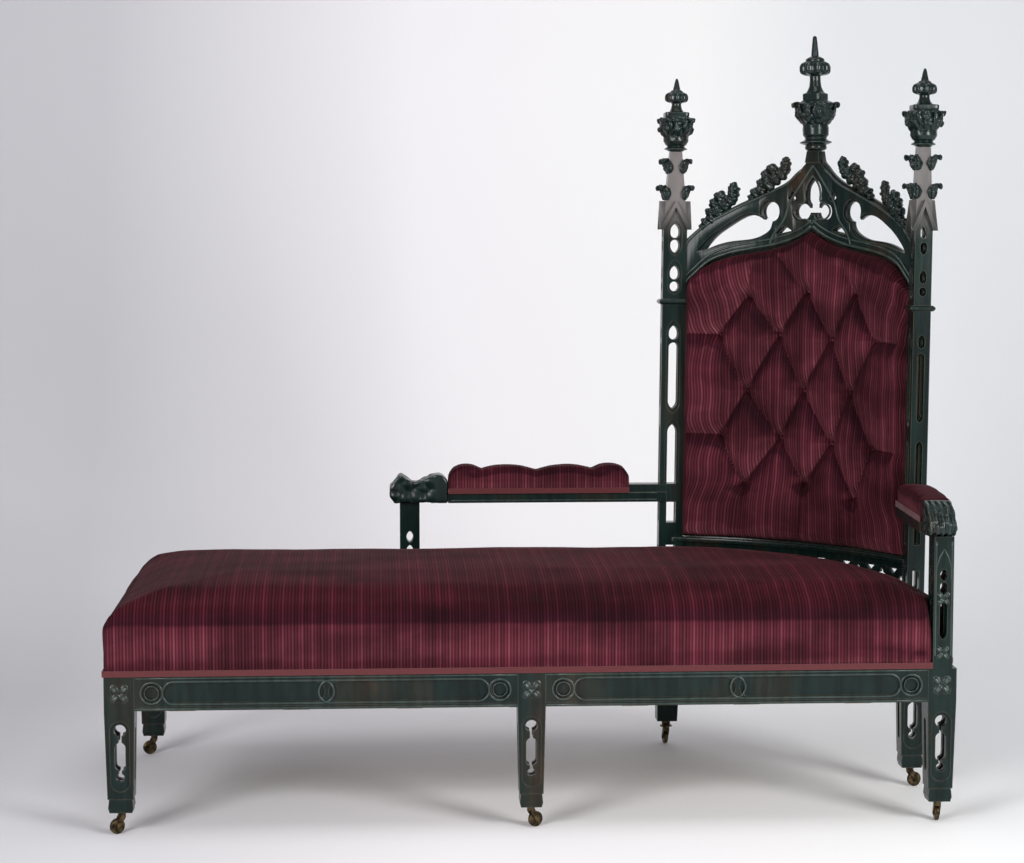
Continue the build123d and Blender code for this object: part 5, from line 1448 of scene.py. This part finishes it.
def leaf_boss(x, z, radius, turn):
    """A small raised leaf on the front face of a leg."""
    verts = []
    rings, around = 7, 20
    for ring in range(rings):
        rise = math.pi / 2 * ring / (rings - 1)
        for k in range(around):
            angle = 2 * math.pi * k / around
            reach = radius * math.cos(rise)
            along, across = 1.25 * reach * math.cos(angle), 0.85 * reach * math.sin(angle)
            groove = 1.6 * math.exp(-(across / 1.6) ** 2)
            height = (BOSS_RISE - groove) * math.sin(rise)
            place_x = x + along * math.cos(turn) - across * math.sin(turn)
            place_z = z + along * math.sin(turn) + across * math.cos(turn)
            verts.append(tuple(at(place_x, POST_FACE + 0.8 - height, place_z)))
    return verts, [*tube_faces(rings, around), tuple(reversed(range(around)))]


def boss_groups():
    """Four leaves crosswise at every group's middle."""
    parts = []
    for x, z, spread, radius in BOSS_GROUPS:
        for quarter in range(4):
            turn = math.pi / 4 + quarter * math.pi / 2
            leaf_x, leaf_z = x + spread * math.cos(turn), z + spread * math.sin(turn)
            parts.append(leaf_boss(leaf_x, leaf_z, radius, turn))
    return parts


leaf_bosses_on_legs = added_carving("leg_bosses", boss_groups())
print("leg bosses", len(leaf_bosses_on_legs.data.vertices), "vertices")

# %% [markdown]
# ## The crest's neck
# The middle finial stands on a square neck that flares into the crest. A copy of the
# crest is drawn in towards the neck's axis, more and more towards the top, and that copy
# stands for the frame's own crest. Its openings stay as they are.

# %% Flared neck
NECK_FOOT = 1338.0
NECK_SHRINK = 0.26


def flared_crest():
    """The crest with its neck drawn in under the middle finial."""
    crest = bpy.data.objects.new("carved_crest", frame["nodes"]["crest_tracery"].data.copy())
    bpy.context.scene.collection.objects.link(crest)
    places = corners_of(crest)
    height = places[:, 2] / MM
    share = np.clip((height - NECK_FOOT) / (SPIRE_TOP - NECK_FOOT), 0, 1)
    axis = on_back(0, height, 0)
    places[:, :2] += (axis - places)[:, :2] * (NECK_SHRINK * share ** 0.5)[:, None]
    move_corners(crest, places)
    crest.data.materials.clear()
    dressed(crest, "crest_tracery", "ebonised_wood")
    soften(crest, BEVEL_WIDTHS["ebonised_wood"])
    return crest


crest = flared_crest()
print("crest", len(crest.data.vertices), "vertices")

# %% [markdown]
# ## Carved arm ends
# The left arm ends in a rolled leaf with two humps and the right one in a leafy paw. Both
# start from their plain solids, remeshed finely. Rounded bosses from a cell pattern are
# pushed out of the rolled leaf, and upright fingers with smaller bosses are cut into the
# paw.

# %% Arm ends
LEAF_CELLS, PAW_CELLS = 48, 62
FINGERS = 5


def bossed(node, name, depths):
    """A remeshed copy of a node with carved bosses, given as a depth at every place."""
    piece = skin_of(node, name, 0.0025, 6)
    places = corners_of(piece)
    places += corner_normals(piece) * (depths(places) * MM)[:, None]
    move_corners(piece, places)
    finer(piece)
    dressed(piece, node, "ebonised_wood")
    piece.data.materials[0] = carved_wood
    return piece


def leaf_bosses(places):
    """Carved bosses over the front half of the rolled leaf."""
    low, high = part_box("left_arm_scroll")
    share = (places[:, 0] - low.x) / (high.x - low.x)
    near = np.clip((0.85 - share) / 0.15, 0, 1)
    return near * (6.0 * (0.40 - cell_bosses(places, LEAF_CELLS)) - 1.0)


def paw_bosses(places):
    """Upright fingers across the paw, each broken into knuckles."""
    low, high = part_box("right_arm_scroll")
    share = (places[:, 0] - low.x) / (high.x - low.x)
    front = np.clip((low.y + 0.075 - places[:, 1]) / 0.03, 0, 1)
    fingers = 5.0 * (np.abs(np.sin(share * FINGERS * math.pi)) - 0.9)
    return front * (fingers + 5.0 * (0.40 - cell_bosses(places, PAW_CELLS)) - 1.0)


bossed("left_arm_scroll", "carved_left_arm_end", leaf_bosses)
bossed("right_arm_scroll", "carved_right_arm_end", paw_bosses)
print("two carved arm ends")

# %% [markdown]
# ## The studio floor
# A pale sweep: a flat floor that curves up into a wall behind the couch, as a paper
# backdrop does, so that no horizon shows. Its colour carries painted light and shade that
# drift from left to right: darker at both ends, as the light on the real one falls off. From
# behind, the paper is clear, so that the couch can also be looked at from that side.

# %% Floor
def studio_sweep():
    """Floor, curve and wall as one smooth sheet."""
    profile = [(-9.0, 0.0), (1.2, 0.0)]
    radius = 1.6
    for step in range(1, 17):
        angle = math.pi / 2 * step / 16
        profile.append((1.2 + radius * math.sin(angle), radius * (1 - math.cos(angle))))
    profile.append((1.2 + radius, 7.0))
    mesh = bpy.data.meshes.new("studio_floor")
    verts = [(x, y, z) for x in (-9.0, 9.0) for y, z in profile]
    count = len(profile)
    faces = [(i, i + count, i + count + 1, i + 1) for i in range(count - 1)]
    mesh.from_pydata(verts, [], faces)
    sweep = bpy.data.objects.new("studio_floor", mesh)
    bpy.context.scene.collection.objects.link(sweep)
    for polygon in mesh.polygons:
        polygon.use_smooth = True
    return sweep


def studio_paper():
    """Matt paper whose colour carries painted light and shade that drift across the picture."""
    paper = Finish("studio_paper")
    place = paper.add("TexCoord")
    split = paper.add("SeparateXYZ")
    paper.join(place, "Object", split, "Vector")
    across = paper.add("MapRange")
    for socket, value in ((1, -1.2), (2, 1.2), (3, 0.0), (4, 1.0)):
        across.inputs[socket].default_value = value
    paper.join(split, "X", across, 0)
    # Painted light and shade: darker at the left and right ends, brightest right of the middle.
    tone = paper.ramp(across, 0, [(0.0, (0.66, 0.66, 0.69)), (0.42, (0.98, 0.96, 0.99)),
                                  (0.80, (1.0, 1.0, 1.0)), (1.0, (0.88, 0.90, 0.92))], smooth=False)
    paper.join(tone, "Color", paper.shader, "Base Color")
    paper.shader.inputs["Roughness"].default_value = 0.8
    paper.shader.inputs["Specular IOR Level"].default_value = 0.2
    sides = paper.add("NewGeometry")
    clear = paper.add("BsdfTransparent")
    seen = paper.add("MixShader")
    paper.join(sides, "Backfacing", seen, 0)
    paper.join(paper.shader, 0, seen, 1)
    paper.join(clear, 0, seen, 2)
    paper.join(seen, 0, paper.nodes["Material Output"], "Surface")
    return paper.material


floor = studio_sweep()
floor.data.materials.append(studio_paper())
print("paper sweep behind the couch")
